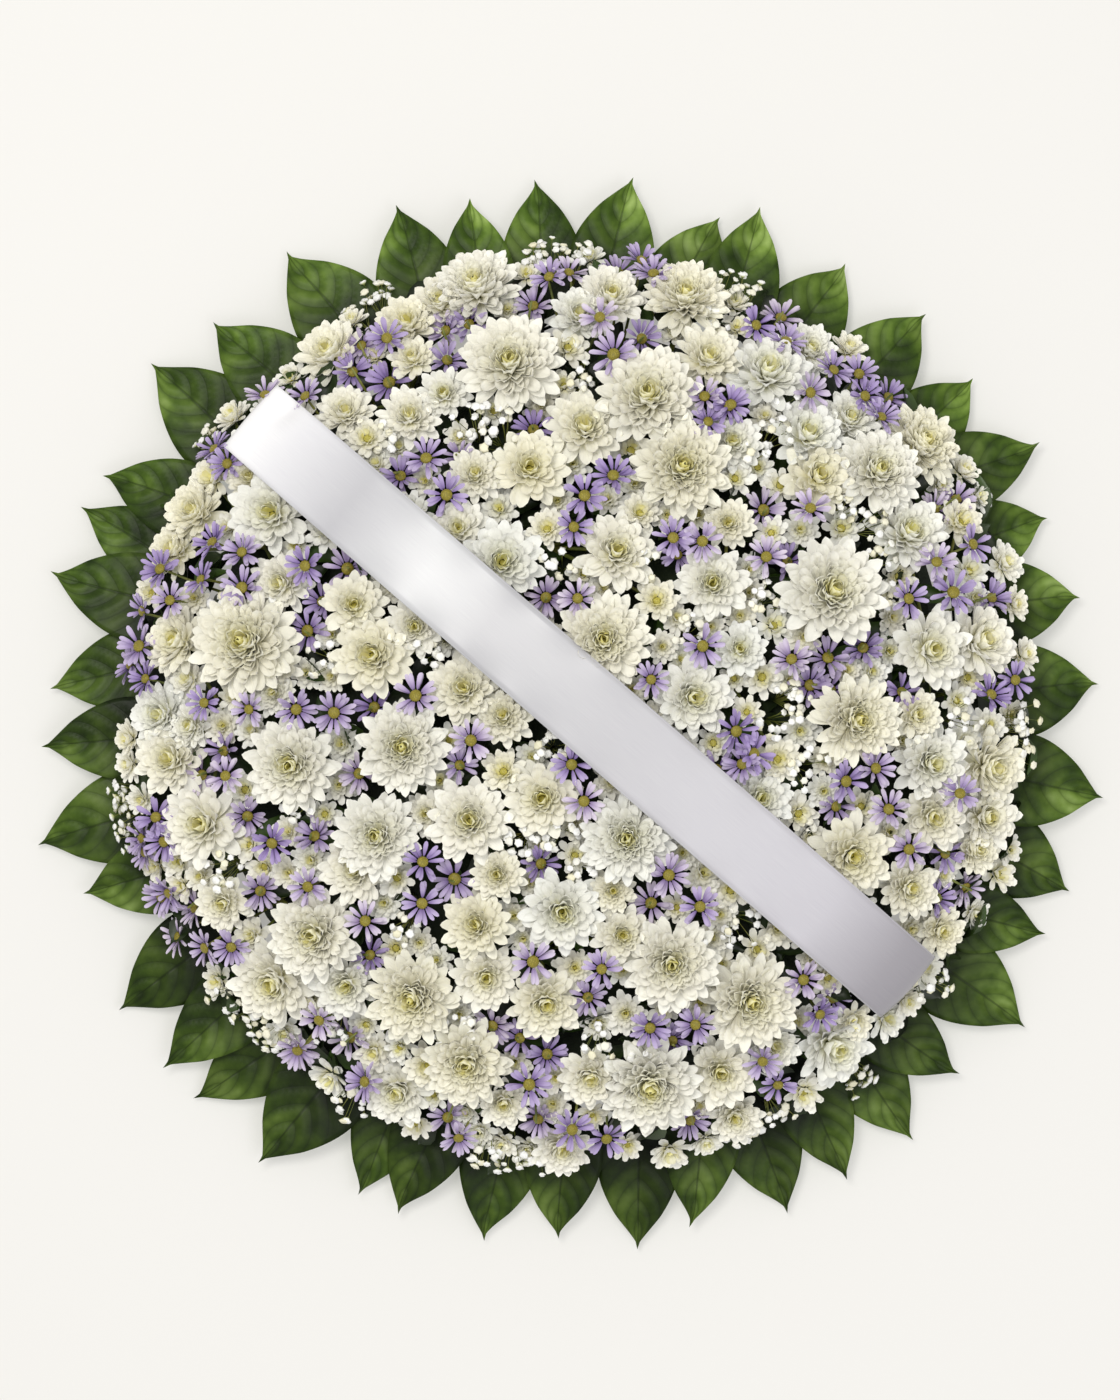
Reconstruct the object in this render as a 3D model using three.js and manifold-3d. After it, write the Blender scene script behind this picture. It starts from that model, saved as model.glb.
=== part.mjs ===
// A round memorial wreath, lying on its back.
//
// A wooden backing disc carries a dome of floral foam. Cut flowers stand in the foam on their own
// stems: single chrysanthemums, branching sprays of smaller chrysanthemums, and sprays of daisies.
// Sprigs of broad pointed leaves are pushed into the side of the foam, and make the green ring.
// A plain satin ribbon crosses the flowers, and its ends are pinned to the foam's side.
//
// Millimetres, +Z up. The underside of the disc is at z = 0, and the outline is centred on x = y = 0.
import * as THREE from 'three';
import { mergeVertices } from 'three/addons/utils/BufferGeometryUtils.js';
import Module from 'manifold-3d';

const wasm = await Module();
wasm.setup();

// ---------------------------------------------------------------- driving dimensions
const GAP = 0.3; // clearance between two pieces that touch

const DISC = { radius: 345, thickness: 12, sides: 48 };
const FOAM = { radius: 352, wall: 28, rise: 98, segments: 32, arcSteps: 6 };
const POCKET = { slack: 0.2, extraDepth: 1 }; // round a stem in the foam, beside the clearance

// Stems enter the foam a little nearer the middle than their heads, and no nearer its edge than this.
const ENTRY = { singleInset: 0.84, edgeInset: 0.93 };

// The flower heads' centres lie on half an ellipsoid, this wide, this high, over this rim level.
const FLOWERS = { radius: 432, rimLevel: 35, rise: 150 };

// Single blooms stand a little above the dome and sprays a little below it, so they can overhang.
const SINGLE = { petalRing: 10, lift: 5, stemRadius: 3, stemDepth: 38 };
const SPRAY = {
  petalRing: 8, lift: -5, overhang: 8,
  stemRadius: 3, stemDepth: 36, branchRadius: 1.8, hubRadius: 4, hubLift: 9, neck: 8,
};
const DAISY = {
  petalRing: 8, radius: 16, proud: 15,
  stemRadius: 2, branchRadius: 1.4, hubRadius: 3, hubDrop: 22,
};
const SCALLOP = 0.86; // how far in the dips between petal tips reach, as a share of the radius
const BACK = 0.42; // how deep a chrysanthemum is behind its widest ring, as a share of its radius
const STEM_SIDES = 6;
const BRANCH_SIDES = 4;

const LEAF = {
  baseRadius: 368, level: 20, layerStep: 7, fold: 4, droop: 9, thickness: 1.4, rows: 5, shoulder: 0.8,
};
const TWIG = { radius: 2.2, depth: 30, reach: 8, level: 26, petioleRadius: 1.3, intoLeaf: 10 };

const RIBBON = {
  width: 75, thickness: 1.2, lift: 28, steps: 28, // over the flowers
  bearing: -41, offset: 5, leftEnd: 404, rightEnd: 394, // where it lies
};
// Each turned-down end, from the rim to the foam's side: [past the end, below the ribbon's level there],
// and then [distance from the middle, level].
const OVER_THE_RIM = [[6, 8], [6, 20], [-4, 36]];
const IN_TO_THE_FOAM = [[381, 60], [364, 49], [FOAM.radius + 2.4, 40], [FOAM.radius + 1.4, 26]];
const PIN = { wireRadius: 0.8, crown: 24, leg: 36, level: 32, standOff: 3.4 };

// ---------------------------------------------------------------- planting plan
// Every place is the head's plan position over the disc's centre, and its own radius: [x, y, r].
const SINGLE_BLOOMS = [
  [-98, 399, 45], [-65, 321, 51], [99, 387, 43], [62, 290, 53], [95, 222, 49], [276, 222, 44],
  [323, 251, 42], [232, 110, 54], [-310, 63, 55], [22, 64, 47], [255, -10, 45], [-265, -51, 47],
  [-161, -34, 45], [-185, -114, 43], [42, -116, 45], [-246, -207, 47], [-155, -266, 46],
  [84, -232, 47], [158, -268, 48], [-105, -327, 44], [65, -350, 50],
];

// A spray: where its main stem forks, and the heads that its branches carry.
const WHITE_SPRAYS = [
  { fork: [-172, 308], heads: [[-130, 380, 32], [-160, 360, 32], [-235, 335, 35], [-155, 325, 24],
    [-215, 275, 29], [-155, 270, 31], [-125, 290, 26]] },
  { fork: [-2, 310], heads: [[0, 365, 29], [30, 385, 35], [5, 260, 38], [-45, 220, 38], [-95, 215, 27]] },
  { fork: [182, 278], heads: [[120, 325, 35], [175, 315, 42], [215, 335, 28], [140, 245, 29],
    [210, 255, 37], [250, 270, 31], [220, 215, 37]] },
  { fork: [335, 45], heads: [[305, 165, 39], [355, 175, 24], [325, 55, 40], [375, 65, 39], [310, -5, 26],
    [325, -50, 37], [385, -55, 39]] },
  { fork: [-28, 148], heads: [[-110, 165, 29], [-70, 135, 40], [35, 145, 40]] },
  { fork: [132, 35], heads: [[135, 170, 25], [120, 115, 36], [145, 55, 27], [105, 10, 38],
    [165, -80, 32]] },
  { fork: [-320, 165], heads: [[-285, 180, 42], [-360, 185, 33], [-305, 215, 24], [-345, 215, 24],
    [-380, 150, 28], [-275, 115, 31]] },
  { fork: [-148, 52], heads: [[-205, 95, 32], [-190, 50, 40], [-150, 75, 29], [-105, 20, 36],
    [-70, -5, 29]] },
  { fork: [-335, -5], heads: [[-280, 40, 27], [-375, 65, 35], [-390, -5, 33], [-380, -45, 37],
    [-360, -15, 24], [-350, -105, 42]] },
  { fork: [320, -135], heads: [[325, -100, 35], [380, -100, 34], [250, -135, 40], [305, -165, 31],
    [336, -206, 26], [370, -130, 26]] },
  { fork: [-78, -98], heads: [[-100, -100, 41], [-35, -80, 38], [-75, -150, 27]] },
  { fork: [-35, -222], heads: [[-15, -185, 40], [-95, -195, 34], [-85, -245, 33], [-30, -270, 36],
    [40, -205, 31]] },
  { fork: [-285, -180], heads: [[-330, -180, 29], [-285, -255, 43], [-215, -255, 33], [-205, -145, 34]] },
  { fork: [-58, -352], heads: [[-170, -355, 35], [-140, -330, 24], [-70, -365, 26], [10, -340, 31],
    [-15, -410, 30]] },
  { fork: [190, -335], heads: [[130, -335, 35], [145, -380, 28], [180, -310, 28], [240, -315, 41]] },
];

const DAISY_SPRAYS = [
  { fork: [266, 303], heads: [[259, 311], [290, 292], [237, 315]] },
  { fork: [122, 277], heads: [[113, 289], [139, 279], [118, 263]] },
  { fork: [-365, -205], heads: [[-385, -174], [-362, -184], [-381, -213], [-351, -223], [-321, -221]] },
  { fork: [-235, -310], heads: [[-241, -288], [-262, -319], [-215, -306], [-201, -343]] },
  { fork: [258, -80], heads: [[244, -66], [281, -90], [236, -90]] },
  { fork: [86, -298], heads: [[65, -291], [85, -306], [104, -287]] },
];

// The leaves, clockwise from the top: the tip's plan position, the way the leaf points, its width.
const LEAVES = [
  [-39, 495, 93, 76], [48, 497, 77, 80], [129, 461, 64, 76], [170, 469, 75, 74], [251, 415, 53, 80],
  [322, 370, 46, 82], [370, 307, 45, 76], [431, 246, 21, 76], [437, 181, 20, 74], [467, 107, 8, 80],
  [485, 25, 9, 88], [490, -82, -13, 88], [459, -170, -30, 84], [435, -213, -13, 70], [418, -297, -35, 88],
  [353, -343, -37, 72], [312, -404, -57, 78], [252, -439, -66, 74], [197, -471, -69, 82],
  [108, -484, -96, 72], [56, -506, -91, 80], [-21, -495, -96, 74], [-92, -497, -102, 78],
  [-171, -471, -116, 76], [-205, -455, -111, 70], [-298, -425, -130, 92], [-359, -368, -146, 80],
  [-388, -336, -138, 76], [-431, -282, -144, 84], [-463, -174, -166, 78], [-508, -125, -164, 90],
  [-502, -34, -174, 78], [-495, 21, -167, 78], [-494, 125, 165, 84], [-466, 188, 147, 74],
  [-444, 220, 159, 76], [-401, 323, 136, 92], [-343, 359, 139, 84], [-276, 426, 130, 92],
  [-170, 471, 104, 82], [-104, 476, 96, 68],
];
// How many neighbouring leaves grow on each sprig, from the first leaf after the ribbon's upper end.
const FIRST_SPRIG_LEAF = 37;
const SPRIG_LEAVES = [3, 3, 3, 3, 4, 3, 3, 3, 3, 3, 3, 3, 4];

// ---------------------------------------------------------------- finishes
function finish(color, roughness, metalness = 0) {
  return new THREE.MeshStandardMaterial({ color, roughness, metalness });
}
const wood = () => finish('#A98A5E', 0.8);
const wetFoam = () => finish('#2F4A2C', 0.95);
const creamPetal = () => finish('#F3F1E6', 0.6);
const lavenderPetal = () => finish('#B7A3DC', 0.6);
const leafGreen = () => finish('#4E6B2A', 0.45);
const satin = () => finish('#DAD9DF', 0.35);
const wire = () => finish('#9A9C9E', 0.35, 1);

// ---------------------------------------------------------------- shared geometry
const wreath = new THREE.Group();

function solid(geometry) {
  const bare = geometry.index ? geometry.toNonIndexed() : geometry.clone();
  bare.deleteAttribute('normal');
  bare.deleteAttribute('uv');
  const merged = mergeVertices(bare, 1e-4);
  return new wasm.Manifold(new wasm.Mesh({
    numProp: 3,
    vertProperties: Float32Array.from(merged.attributes.position.array),
    triVerts: Uint32Array.from(merged.index.array),
  }));
}

function join(geometries) {
  return geometries.map(solid).reduce((whole, next) => whole.add(next));
}

function add(name, body, material) {
  const cut = body.getMesh();
  const geometry = new THREE.BufferGeometry();
  geometry.setAttribute('position', new THREE.BufferAttribute(Float32Array.from(cut.vertProperties), 3));
  geometry.setIndex(new THREE.BufferAttribute(Uint32Array.from(cut.triVerts), 1));
  geometry.computeVertexNormals();
  const mesh = new THREE.Mesh(geometry, material);
  mesh.name = name;
  wreath.add(mesh);
}

// A round stem along a curve, with flat ends.
function tube(curve, radius, sides, steps) {
  const section = new THREE.Shape();
  for (let i = 0; i < sides; i++) {
    const turn = (2 * Math.PI * i) / sides;
    section[i ? 'lineTo' : 'moveTo'](radius * Math.cos(turn), radius * Math.sin(turn));
  }
  return new THREE.ExtrudeGeometry(section, { steps, extrudePath: curve });
}

const numbered = (i) => String(i + 1).padStart(2, '0');
const straight = (from, to) => new THREE.LineCurve3(from, to);

function dome(x, y, size) {
  const level = Math.sqrt(Math.max(0, 1 - (x * x + y * y) / size.radius ** 2));
  const out = new THREE.Vector3(x / size.radius ** 2, y / size.radius ** 2, level / size.rise).normalize();
  return { level: level * size.rise, out };
}

function onFlowers(x, y, lift = 0) {
  const { level, out } = dome(x, y, FLOWERS);
  const centre = new THREE.Vector3(x, y, FLOWERS.rimLevel + level).addScaledVector(out, lift);
  return { centre, out };
}

function onFoam(x, y, lift) {
  const inside = Math.min(1, (ENTRY.edgeInset * FOAM.radius) / Math.hypot(x, y));
  const { level, out } = dome(x * inside, y * inside, FOAM);
  const top = DISC.thickness + FOAM.wall + level;
  return new THREE.Vector3(x * inside, y * inside, top).addScaledVector(out, lift);
}

// Turns a head that was made facing +Z, and sets it at its place.
function place(geometry, centre, out) {
  const turn = new THREE.Quaternion().setFromUnitVectors(new THREE.Vector3(0, 0, 1), out);
  return geometry.applyQuaternion(turn).translate(centre.x, centre.y, centre.z);
}

// A round flower head: [radius, height] pairs, whose widest ring is scalloped by the petal tips.
function head(profile, sides, radius) {
  const points = profile.map(([wide, high]) => new THREE.Vector2(wide * radius, high * radius));
  const geometry = new THREE.LatheGeometry(points, sides).rotateX(Math.PI / 2);
  const position = geometry.attributes.position;
  for (let i = 0; i < position.count; i++) {
    const petal = Math.floor(i / points.length) % 2;
    const widest = Math.hypot(position.getX(i), position.getY(i)) > 0.9 * radius;
    const dip = petal && widest ? SCALLOP : 1;
    position.setXYZ(i, position.getX(i) * dip, position.getY(i) * dip, position.getZ(i));
  }
  return geometry;
}

const SINGLE_PROFILE = [[0, -BACK], [1, -0.02], [0.88, 0.26], [0.5, 0.44], [0, 0.5]];
const SPRAY_PROFILE = [[0, -BACK], [1, 0], [0.7, 0.36], [0, 0.5]];
const DAISY_PROFILE = [[0, -0.3], [1, 0.06], [0, 0.22]];

// ---------------------------------------------------------------- backing disc and foam
const disc = solid(new THREE.CylinderGeometry(DISC.radius, DISC.radius, DISC.thickness, DISC.sides)
  .rotateX(Math.PI / 2).translate(0, 0, DISC.thickness / 2));

const foamBase = DISC.thickness + GAP;
const foamShoulder = DISC.thickness + FOAM.wall;
const foamProfile = [new THREE.Vector2(0, foamBase), new THREE.Vector2(FOAM.radius, foamBase)];
for (let i = 0; i <= FOAM.arcSteps; i++) {
  const turn = (Math.PI / 2) * (i / FOAM.arcSteps);
  const wide = i < FOAM.arcSteps ? FOAM.radius * Math.cos(turn) : 0;
  foamProfile.push(new THREE.Vector2(wide, foamShoulder + FOAM.rise * Math.sin(turn)));
}
let foam = solid(new THREE.LatheGeometry(foamProfile, FOAM.segments).rotateX(Math.PI / 2));

// Presses a pocket into the foam round a stem, a little wider and deeper than the stem.
function pressIn(from, to, radius) {
  const past = to.clone().sub(from).setLength(POCKET.extraDepth).add(to);
  const pocket = tube(straight(from, past), radius + GAP + POCKET.slack, STEM_SIDES, 1);
  foam = foam.subtract(solid(pocket));
}

add('backing_disc', disc, wood());

// ---------------------------------------------------------------- flowers
// Every head with the piece that it belongs to: the single blooms stand a little higher than the sprays.
const singles = SINGLE_BLOOMS.map((plan, i) => ({ plan, piece: `single ${i}`, lift: SINGLE.lift }));
const sprayed = WHITE_SPRAYS.flatMap(({ heads }, i) => (
  heads.map((plan) => ({ plan, piece: `spray ${i}`, lift: SPRAY.lift }))
));
const every = [...singles, ...sprayed].map((entry) => (
  { ...entry, ...onFlowers(entry.plan[0], entry.plan[1], entry.lift) }
));

// Where a head would press into a neighbour on another stem, the two share the room between them.
function roomFor(entry) {
  const radius = entry.plan[2];
  return every.filter((other) => other.piece !== entry.piece).reduce((room, other) => {
    const overhang = other.lift === entry.lift ? 0 : SPRAY.overhang;
    const apart = other.centre.distanceTo(entry.centre) + overhang;
    return Math.min(room, (apart * radius) / (radius + other.plan[2]) - GAP);
  }, radius);
}

SINGLE_BLOOMS.forEach(([x, y], i) => {
  const { centre, out } = every[i];
  const radius = roomFor(every[i]);
  const foot = onFoam(ENTRY.singleInset * x, ENTRY.singleInset * y, -SINGLE.stemDepth);
  const bloom = place(head(SINGLE_PROFILE, SINGLE.petalRing, radius), centre, out);
  const stem = tube(straight(centre, foot), SINGLE.stemRadius, STEM_SIDES, 1);
  pressIn(centre, foot, SINGLE.stemRadius);
  add(`chrysanthemum_${numbered(i)}`, join([bloom, stem]), creamPetal());
});

// A branching spray: a main stem pushed into the foam, a fork over it, and a curved branch to each head.
WHITE_SPRAYS.forEach(({ fork }, i) => {
  const hub = onFoam(...fork, SPRAY.hubLift);
  const foot = onFoam(...fork, -SPRAY.stemDepth);
  const pieces = [
    tube(straight(hub, foot), SPRAY.stemRadius, STEM_SIDES, 1),
    new THREE.OctahedronGeometry(SPRAY.hubRadius).translate(hub.x, hub.y, hub.z),
  ];
  every.filter(({ piece }) => piece === `spray ${i}`).forEach((entry) => {
    const { centre, out } = entry;
    const radius = roomFor(entry);
    const neck = centre.clone().addScaledVector(out, -BACK * radius - SPRAY.neck);
    const branch = new THREE.QuadraticBezierCurve3(hub, neck, centre);
    pieces.push(place(head(SPRAY_PROFILE, SPRAY.petalRing, radius), centre, out));
    pieces.push(tube(branch, SPRAY.branchRadius, BRANCH_SIDES, 2));
  });
  pressIn(hub, foot, SPRAY.stemRadius);
  add(`spray_chrysanthemum_${numbered(i)}`, join(pieces), creamPetal());
});

// A daisy spray forks above the foam, and its flat heads stand proud of the chrysanthemums.
DAISY_SPRAYS.forEach(({ fork, heads }, i) => {
  const hub = onFlowers(...fork, -DAISY.hubDrop).centre;
  const foot = onFoam(...fork, -SPRAY.stemDepth);
  const pieces = [
    tube(straight(hub, foot), DAISY.stemRadius, STEM_SIDES, 1),
    new THREE.OctahedronGeometry(DAISY.hubRadius).translate(hub.x, hub.y, hub.z),
  ];
  heads.forEach(([x, y]) => {
    const { centre, out } = onFlowers(x, y, DAISY.proud);
    const neck = onFlowers(x, y, -DAISY.hubDrop / 2).centre;
    const branch = new THREE.QuadraticBezierCurve3(hub, neck, centre);
    pieces.push(place(head(DAISY_PROFILE, DAISY.petalRing, DAISY.radius), centre, out));
    pieces.push(tube(branch, DAISY.branchRadius, BRANCH_SIDES, 2));
  });
  pressIn(hub, foot, DAISY.stemRadius);
  add(`daisy_spray_${numbered(i)}`, join(pieces), lavenderPetal());
});

// ---------------------------------------------------------------- leaf sprigs
// A leaf lies along +X from its base to its tip: a thin body whose halves fold up from the midrib.
function leafBlade(length, width) {
  const profile = [new THREE.Vector2(0, 0)];
  for (let i = 1; i < LEAF.rows; i++) {
    const along = i / LEAF.rows;
    const half = 0.5 * width * Math.sin(Math.PI * along ** LEAF.shoulder) ** LEAF.shoulder;
    profile.push(new THREE.Vector2(half, along * length));
  }
  profile.push(new THREE.Vector2(0, length));
  const blade = new THREE.LatheGeometry(profile, 4).rotateZ(-Math.PI / 2);
  const position = blade.attributes.position;
  for (let i = 0; i < position.count; i++) {
    const [x, y, z] = [position.getX(i), position.getY(i), position.getZ(i)];
    const thick = Math.sign(y) * Math.min(Math.abs(y), LEAF.thickness / 2);
    const rise = (LEAF.fold * Math.abs(z)) / (0.5 * width) - LEAF.droop * (x / length) ** 2;
    position.setXYZ(i, x, z, -thick + rise);
  }
  return blade;
}

// Neighbouring leaves lie in two layers. The last of an odd number lies on both of its neighbours.
function leafLevel(i) {
  const closing = LEAVES.length % 2 && i === LEAVES.length - 1;
  return LEAF.level + LEAF.layerStep * (closing ? 2 : i % 2);
}

function leaf(i) {
  const [tipX, tipY, bearing, width] = LEAVES[i];
  const turn = THREE.MathUtils.degToRad(bearing);
  const way = new THREE.Vector2(Math.cos(turn), Math.sin(turn));
  const tip = new THREE.Vector2(tipX, tipY);
  const across = tip.dot(way);
  const length = across - Math.sqrt(across ** 2 - tip.lengthSq() + LEAF.baseRadius ** 2);
  const base = new THREE.Vector3(tipX - length * way.x, tipY - length * way.y, leafLevel(i));
  const blade = leafBlade(length, width).rotateZ(turn).translate(base.x, base.y, base.z);
  return { blade, base, way: new THREE.Vector3(way.x, way.y, 0) };
}

let first = FIRST_SPRIG_LEAF;
SPRIG_LEAVES.forEach((count, i) => {
  const leaves = [];
  for (let k = 0; k < count; k++) leaves.push(leaf((first + k) % LEAVES.length));
  first += count;
  const middle = leaves.reduce((sum, { base }) => sum.add(base), new THREE.Vector3()).setZ(0).normalize();
  const at = (radius) => middle.clone().multiplyScalar(radius).setZ(TWIG.level);
  const foot = at(FOAM.radius - TWIG.depth);
  const end = at(FOAM.radius + TWIG.reach);
  const pieces = [tube(straight(foot, end), TWIG.radius, STEM_SIDES, 1)];
  leaves.forEach(({ blade, base, way }) => {
    const into = base.clone().addScaledVector(way, TWIG.intoLeaf);
    const petiole = straight(at(FOAM.radius + TWIG.reach - 1), into);
    pieces.push(blade, tube(petiole, TWIG.petioleRadius, BRANCH_SIDES, 1));
  });
  pressIn(end, foot, TWIG.radius);
  add(`leaf_sprig_${numbered(i)}`, join(pieces), leafGreen());
});

// ---------------------------------------------------------------- ribbon and its pins
const ribbonLevel = (along) => FLOWERS.rimLevel + dome(along, 0, FLOWERS).level + RIBBON.lift;

function tail(end) {
  const level = ribbonLevel(end);
  return [...OVER_THE_RIM.map(([past, below]) => [end + past, level - below]), ...IN_TO_THE_FOAM];
}

const course = [];
tail(RIBBON.leftEnd).reverse().forEach(([along, up]) => course.push(new THREE.Vector2(-along, up)));
for (let i = 0; i <= RIBBON.steps; i++) {
  const along = -RIBBON.leftEnd + ((RIBBON.leftEnd + RIBBON.rightEnd) * i) / RIBBON.steps;
  course.push(new THREE.Vector2(along, ribbonLevel(along)));
}
tail(RIBBON.rightEnd).forEach(([along, up]) => course.push(new THREE.Vector2(along, up)));

function side(points, distance) {
  return points.map((point, i) => {
    const before = points[Math.max(0, i - 1)];
    const after = points[Math.min(points.length - 1, i + 1)];
    const along = after.clone().sub(before).normalize();
    return new THREE.Vector2(point.x - along.y * distance, point.y + along.x * distance);
  });
}

const turnRibbon = THREE.MathUtils.degToRad(RIBBON.bearing);
function toRibbon(geometry) {
  return geometry.rotateX(Math.PI / 2).translate(0, RIBBON.offset, 0).rotateZ(turnRibbon);
}

const section = [...side(course, -RIBBON.thickness / 2), ...side(course, RIBBON.thickness / 2).reverse()];
const wide = { depth: RIBBON.width, bevelEnabled: false, steps: 1 };
const strip = new THREE.ExtrudeGeometry(new THREE.Shape(section), wide).translate(0, 0, -RIBBON.width / 2);
let ribbon = solid(toRibbon(strip));

// A bent wire pin, astride the ribbon's end, whose two legs run on into the foam.
function uPin(sideways, radius, extraDepth) {
  const outer = FOAM.radius + PIN.standOff + PIN.wireRadius;
  const inner = outer - PIN.leg - extraDepth;
  const half = PIN.crown / 2;
  const at = (distance, across) => new THREE.Vector3(sideways * distance, PIN.level, across);
  const bar = (from, to) => tube(straight(from, to), radius, STEM_SIDES, 1);
  return [
    bar(at(outer, -half), at(inner, -half)),
    bar(at(outer, half), at(inner, half)),
    bar(at(outer, -half - radius), at(outer, half + radius)),
  ].map(toRibbon);
}

[[-1, 'ribbon_pin_upper'], [1, 'ribbon_pin_lower']].forEach(([sideways, name]) => {
  const pocket = join(uPin(sideways, PIN.wireRadius + GAP, POCKET.extraDepth));
  ribbon = ribbon.subtract(pocket);
  foam = foam.subtract(pocket);
  add(name, join(uPin(sideways, PIN.wireRadius, 0)), wire());
});

add('ribbon', ribbon, satin());
add('foam_dome', foam, wetFoam());

// ---------------------------------------------------------------- set down on its back, centred
const box = new THREE.Box3().setFromObject(wreath);
const middle = box.getCenter(new THREE.Vector3());
wreath.position.set(-middle.x, -middle.y, -box.min.z);
wreath.updateMatrixWorld(true);

export default wreath;
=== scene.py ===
# %% [markdown]
# A round memorial wreath
#
# The wreath lies on its back: a wooden disc, a dome of floral foam, and several hundred cut flowers that
# hide both. Nothing on it moves, so every piece rides on the one body, root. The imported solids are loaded
# first. They say where each flower, leaf and ribbon end has to be, and the pieces made here dress them.

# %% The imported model
import math
import random

import bmesh
import bpy
import numpy as np
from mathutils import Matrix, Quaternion, Vector


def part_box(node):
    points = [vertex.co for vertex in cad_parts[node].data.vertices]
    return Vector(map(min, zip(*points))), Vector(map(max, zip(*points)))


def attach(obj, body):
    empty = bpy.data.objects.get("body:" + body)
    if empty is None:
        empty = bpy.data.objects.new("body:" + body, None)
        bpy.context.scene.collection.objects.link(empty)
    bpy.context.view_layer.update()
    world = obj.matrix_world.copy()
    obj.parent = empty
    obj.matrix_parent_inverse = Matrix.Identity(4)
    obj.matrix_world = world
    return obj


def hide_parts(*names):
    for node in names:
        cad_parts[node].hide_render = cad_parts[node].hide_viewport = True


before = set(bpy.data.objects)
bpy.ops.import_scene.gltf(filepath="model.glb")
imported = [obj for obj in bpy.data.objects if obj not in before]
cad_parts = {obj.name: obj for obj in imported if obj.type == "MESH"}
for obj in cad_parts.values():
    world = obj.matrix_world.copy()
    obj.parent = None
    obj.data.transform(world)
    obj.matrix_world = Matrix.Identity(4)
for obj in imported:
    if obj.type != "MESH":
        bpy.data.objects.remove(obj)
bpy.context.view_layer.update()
disc_low, disc_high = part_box("backing_disc")
CENTRE = (disc_low + disc_high) / 2
BODY = "root"
MM = 0.001
print("nodes:", len(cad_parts), "disc centre:", [round(c, 4) for c in CENTRE])

# %% [markdown]
# The camera
#
# The wreath is seen straight on, from above its middle. A long lens far away keeps the ring of leaves and
# the top of the dome at nearly the same scale, as a catalogue picture does.

# %% Camera
CAMERA_PLACE = (-0.0089, 0.0127, 4.0)
FOCAL_LENGTH, SENSOR_WIDTH = 108.6, 36.0  # millimetres
FARTHEST_SEEN = 20.0

lens = bpy.data.cameras.new("camera")
lens.lens = FOCAL_LENGTH
lens.sensor_width = SENSOR_WIDTH
lens.sensor_fit = "AUTO"
lens.clip_end = FARTHEST_SEEN
camera = bpy.data.objects.new("camera", lens)
camera.location = CAMERA_PLACE
bpy.context.scene.collection.objects.link(camera)
bpy.context.scene.camera = camera
print("camera", CAMERA_PLACE, "lens", FOCAL_LENGTH)

# %% [markdown]
# Small helpers
#
# Colours are written as the hex values that a colour picker shows, and one function turns them into the
# linear values that Blender calculates with. One more function adds any node, in a material or in a
# Geometry Nodes tree, sets what it is given and makes its links. The finishes are thin washes of colour, one
# over the other, with a fine relief on top.

# %% Helpers for colours and nodes
def linear(code):
    """A hex colour as linear red, green, blue and alpha."""
    parts = [int(code[i : i + 2], 16) / 255 for i in (1, 3, 5)]
    return [c / 12.92 if c <= 0.04045 else ((c + 0.055) / 1.055) ** 2.4 for c in parts] + [1.0]


def add(tree, kind, given=None):
    """Adds one node. A key is an input's name or number, or a property. A node or an output is linked."""
    made = tree.nodes.new(kind)
    given = dict(given or {})
    stops = given.pop("stops", [])
    for key in [k for k in given if isinstance(k, str) and k not in made.inputs]:
        setattr(made, key, given.pop(key))
    for _ in stops[2:]:
        made.color_ramp.elements.new(1.0)
    for i, (place, code) in enumerate(stops):
        made.color_ramp.elements[i].position = place
        made.color_ramp.elements[i].color = linear(code)
    for key, value in given.items():
        if isinstance(value, bpy.types.Node):
            value = value.outputs[0]
        if isinstance(value, bpy.types.NodeSocket):
            tree.links.new(value, made.inputs[key])
        else:
            made.inputs[key].default_value = value
    return made


def material(name, roughness, **surface):
    """A material whose Principled shader has these constant values, ready for its colour nodes."""
    made = bpy.data.materials.new(name)
    made.use_nodes = True
    shader = made.node_tree.nodes["Principled BSDF"]
    shader.inputs["Roughness"].default_value = roughness
    for socket, value in surface.items():
        shader.inputs[socket.replace("_", " ")].default_value = value
    return made, made.node_tree, shader


def washes(tree, *layers, over=None):
    """Colours laid one over the other. Each layer is a fraction and the colour stops that it runs through."""
    for fraction, stops in layers:
        wash = add(tree, "ShaderNodeValToRGB", {"stops": stops, "Fac": fraction}).outputs["Color"]
        over = wash if over is None else add(tree, "ShaderNodeMix", {
            "data_type": "RGBA", "blend_type": "MULTIPLY", 0: 1.0, 6: over, 7: wash}).outputs[2]
    return over


def coat(tree, shader, colour, relief=None, strength=0.0, depth=0.0):
    """Gives a shader its colour, and its relief as a bump this many metres deep."""
    tree.links.new(colour, shader.inputs["Base Color"])
    if relief:
        bump = add(tree, "ShaderNodeBump", {"Strength": strength, "Distance": depth, "Height": relief})
        tree.links.new(bump.outputs[0], shader.inputs["Normal"])


def plain_finish(name, roughness, layers, grain=None, strength=0.0, depth=0.0, **surface):
    """A finish whose colours follow a value stored on the points, by its name, or the patches of a noise."""
    made, tree, shader = material(name, roughness, **surface)
    spot = add(tree, "ShaderNodeTexCoord").outputs["Object"]
    fractions = [add(tree, "ShaderNodeAttribute", {"attribute_name": key}) if isinstance(key, str)
                 else add(tree, "ShaderNodeTexNoise", {**key, "Vector": spot}) for key, _ in layers]
    colour = washes(tree, *[(f.outputs["Fac"], stops) for f, (_, stops) in zip(fractions, layers)])
    relief = add(tree, "ShaderNodeTexNoise", {"Scale": grain, "Vector": spot}) if grain else None
    coat(tree, shader, colour, relief, strength, depth)
    return made


print("helpers ready")

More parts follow.
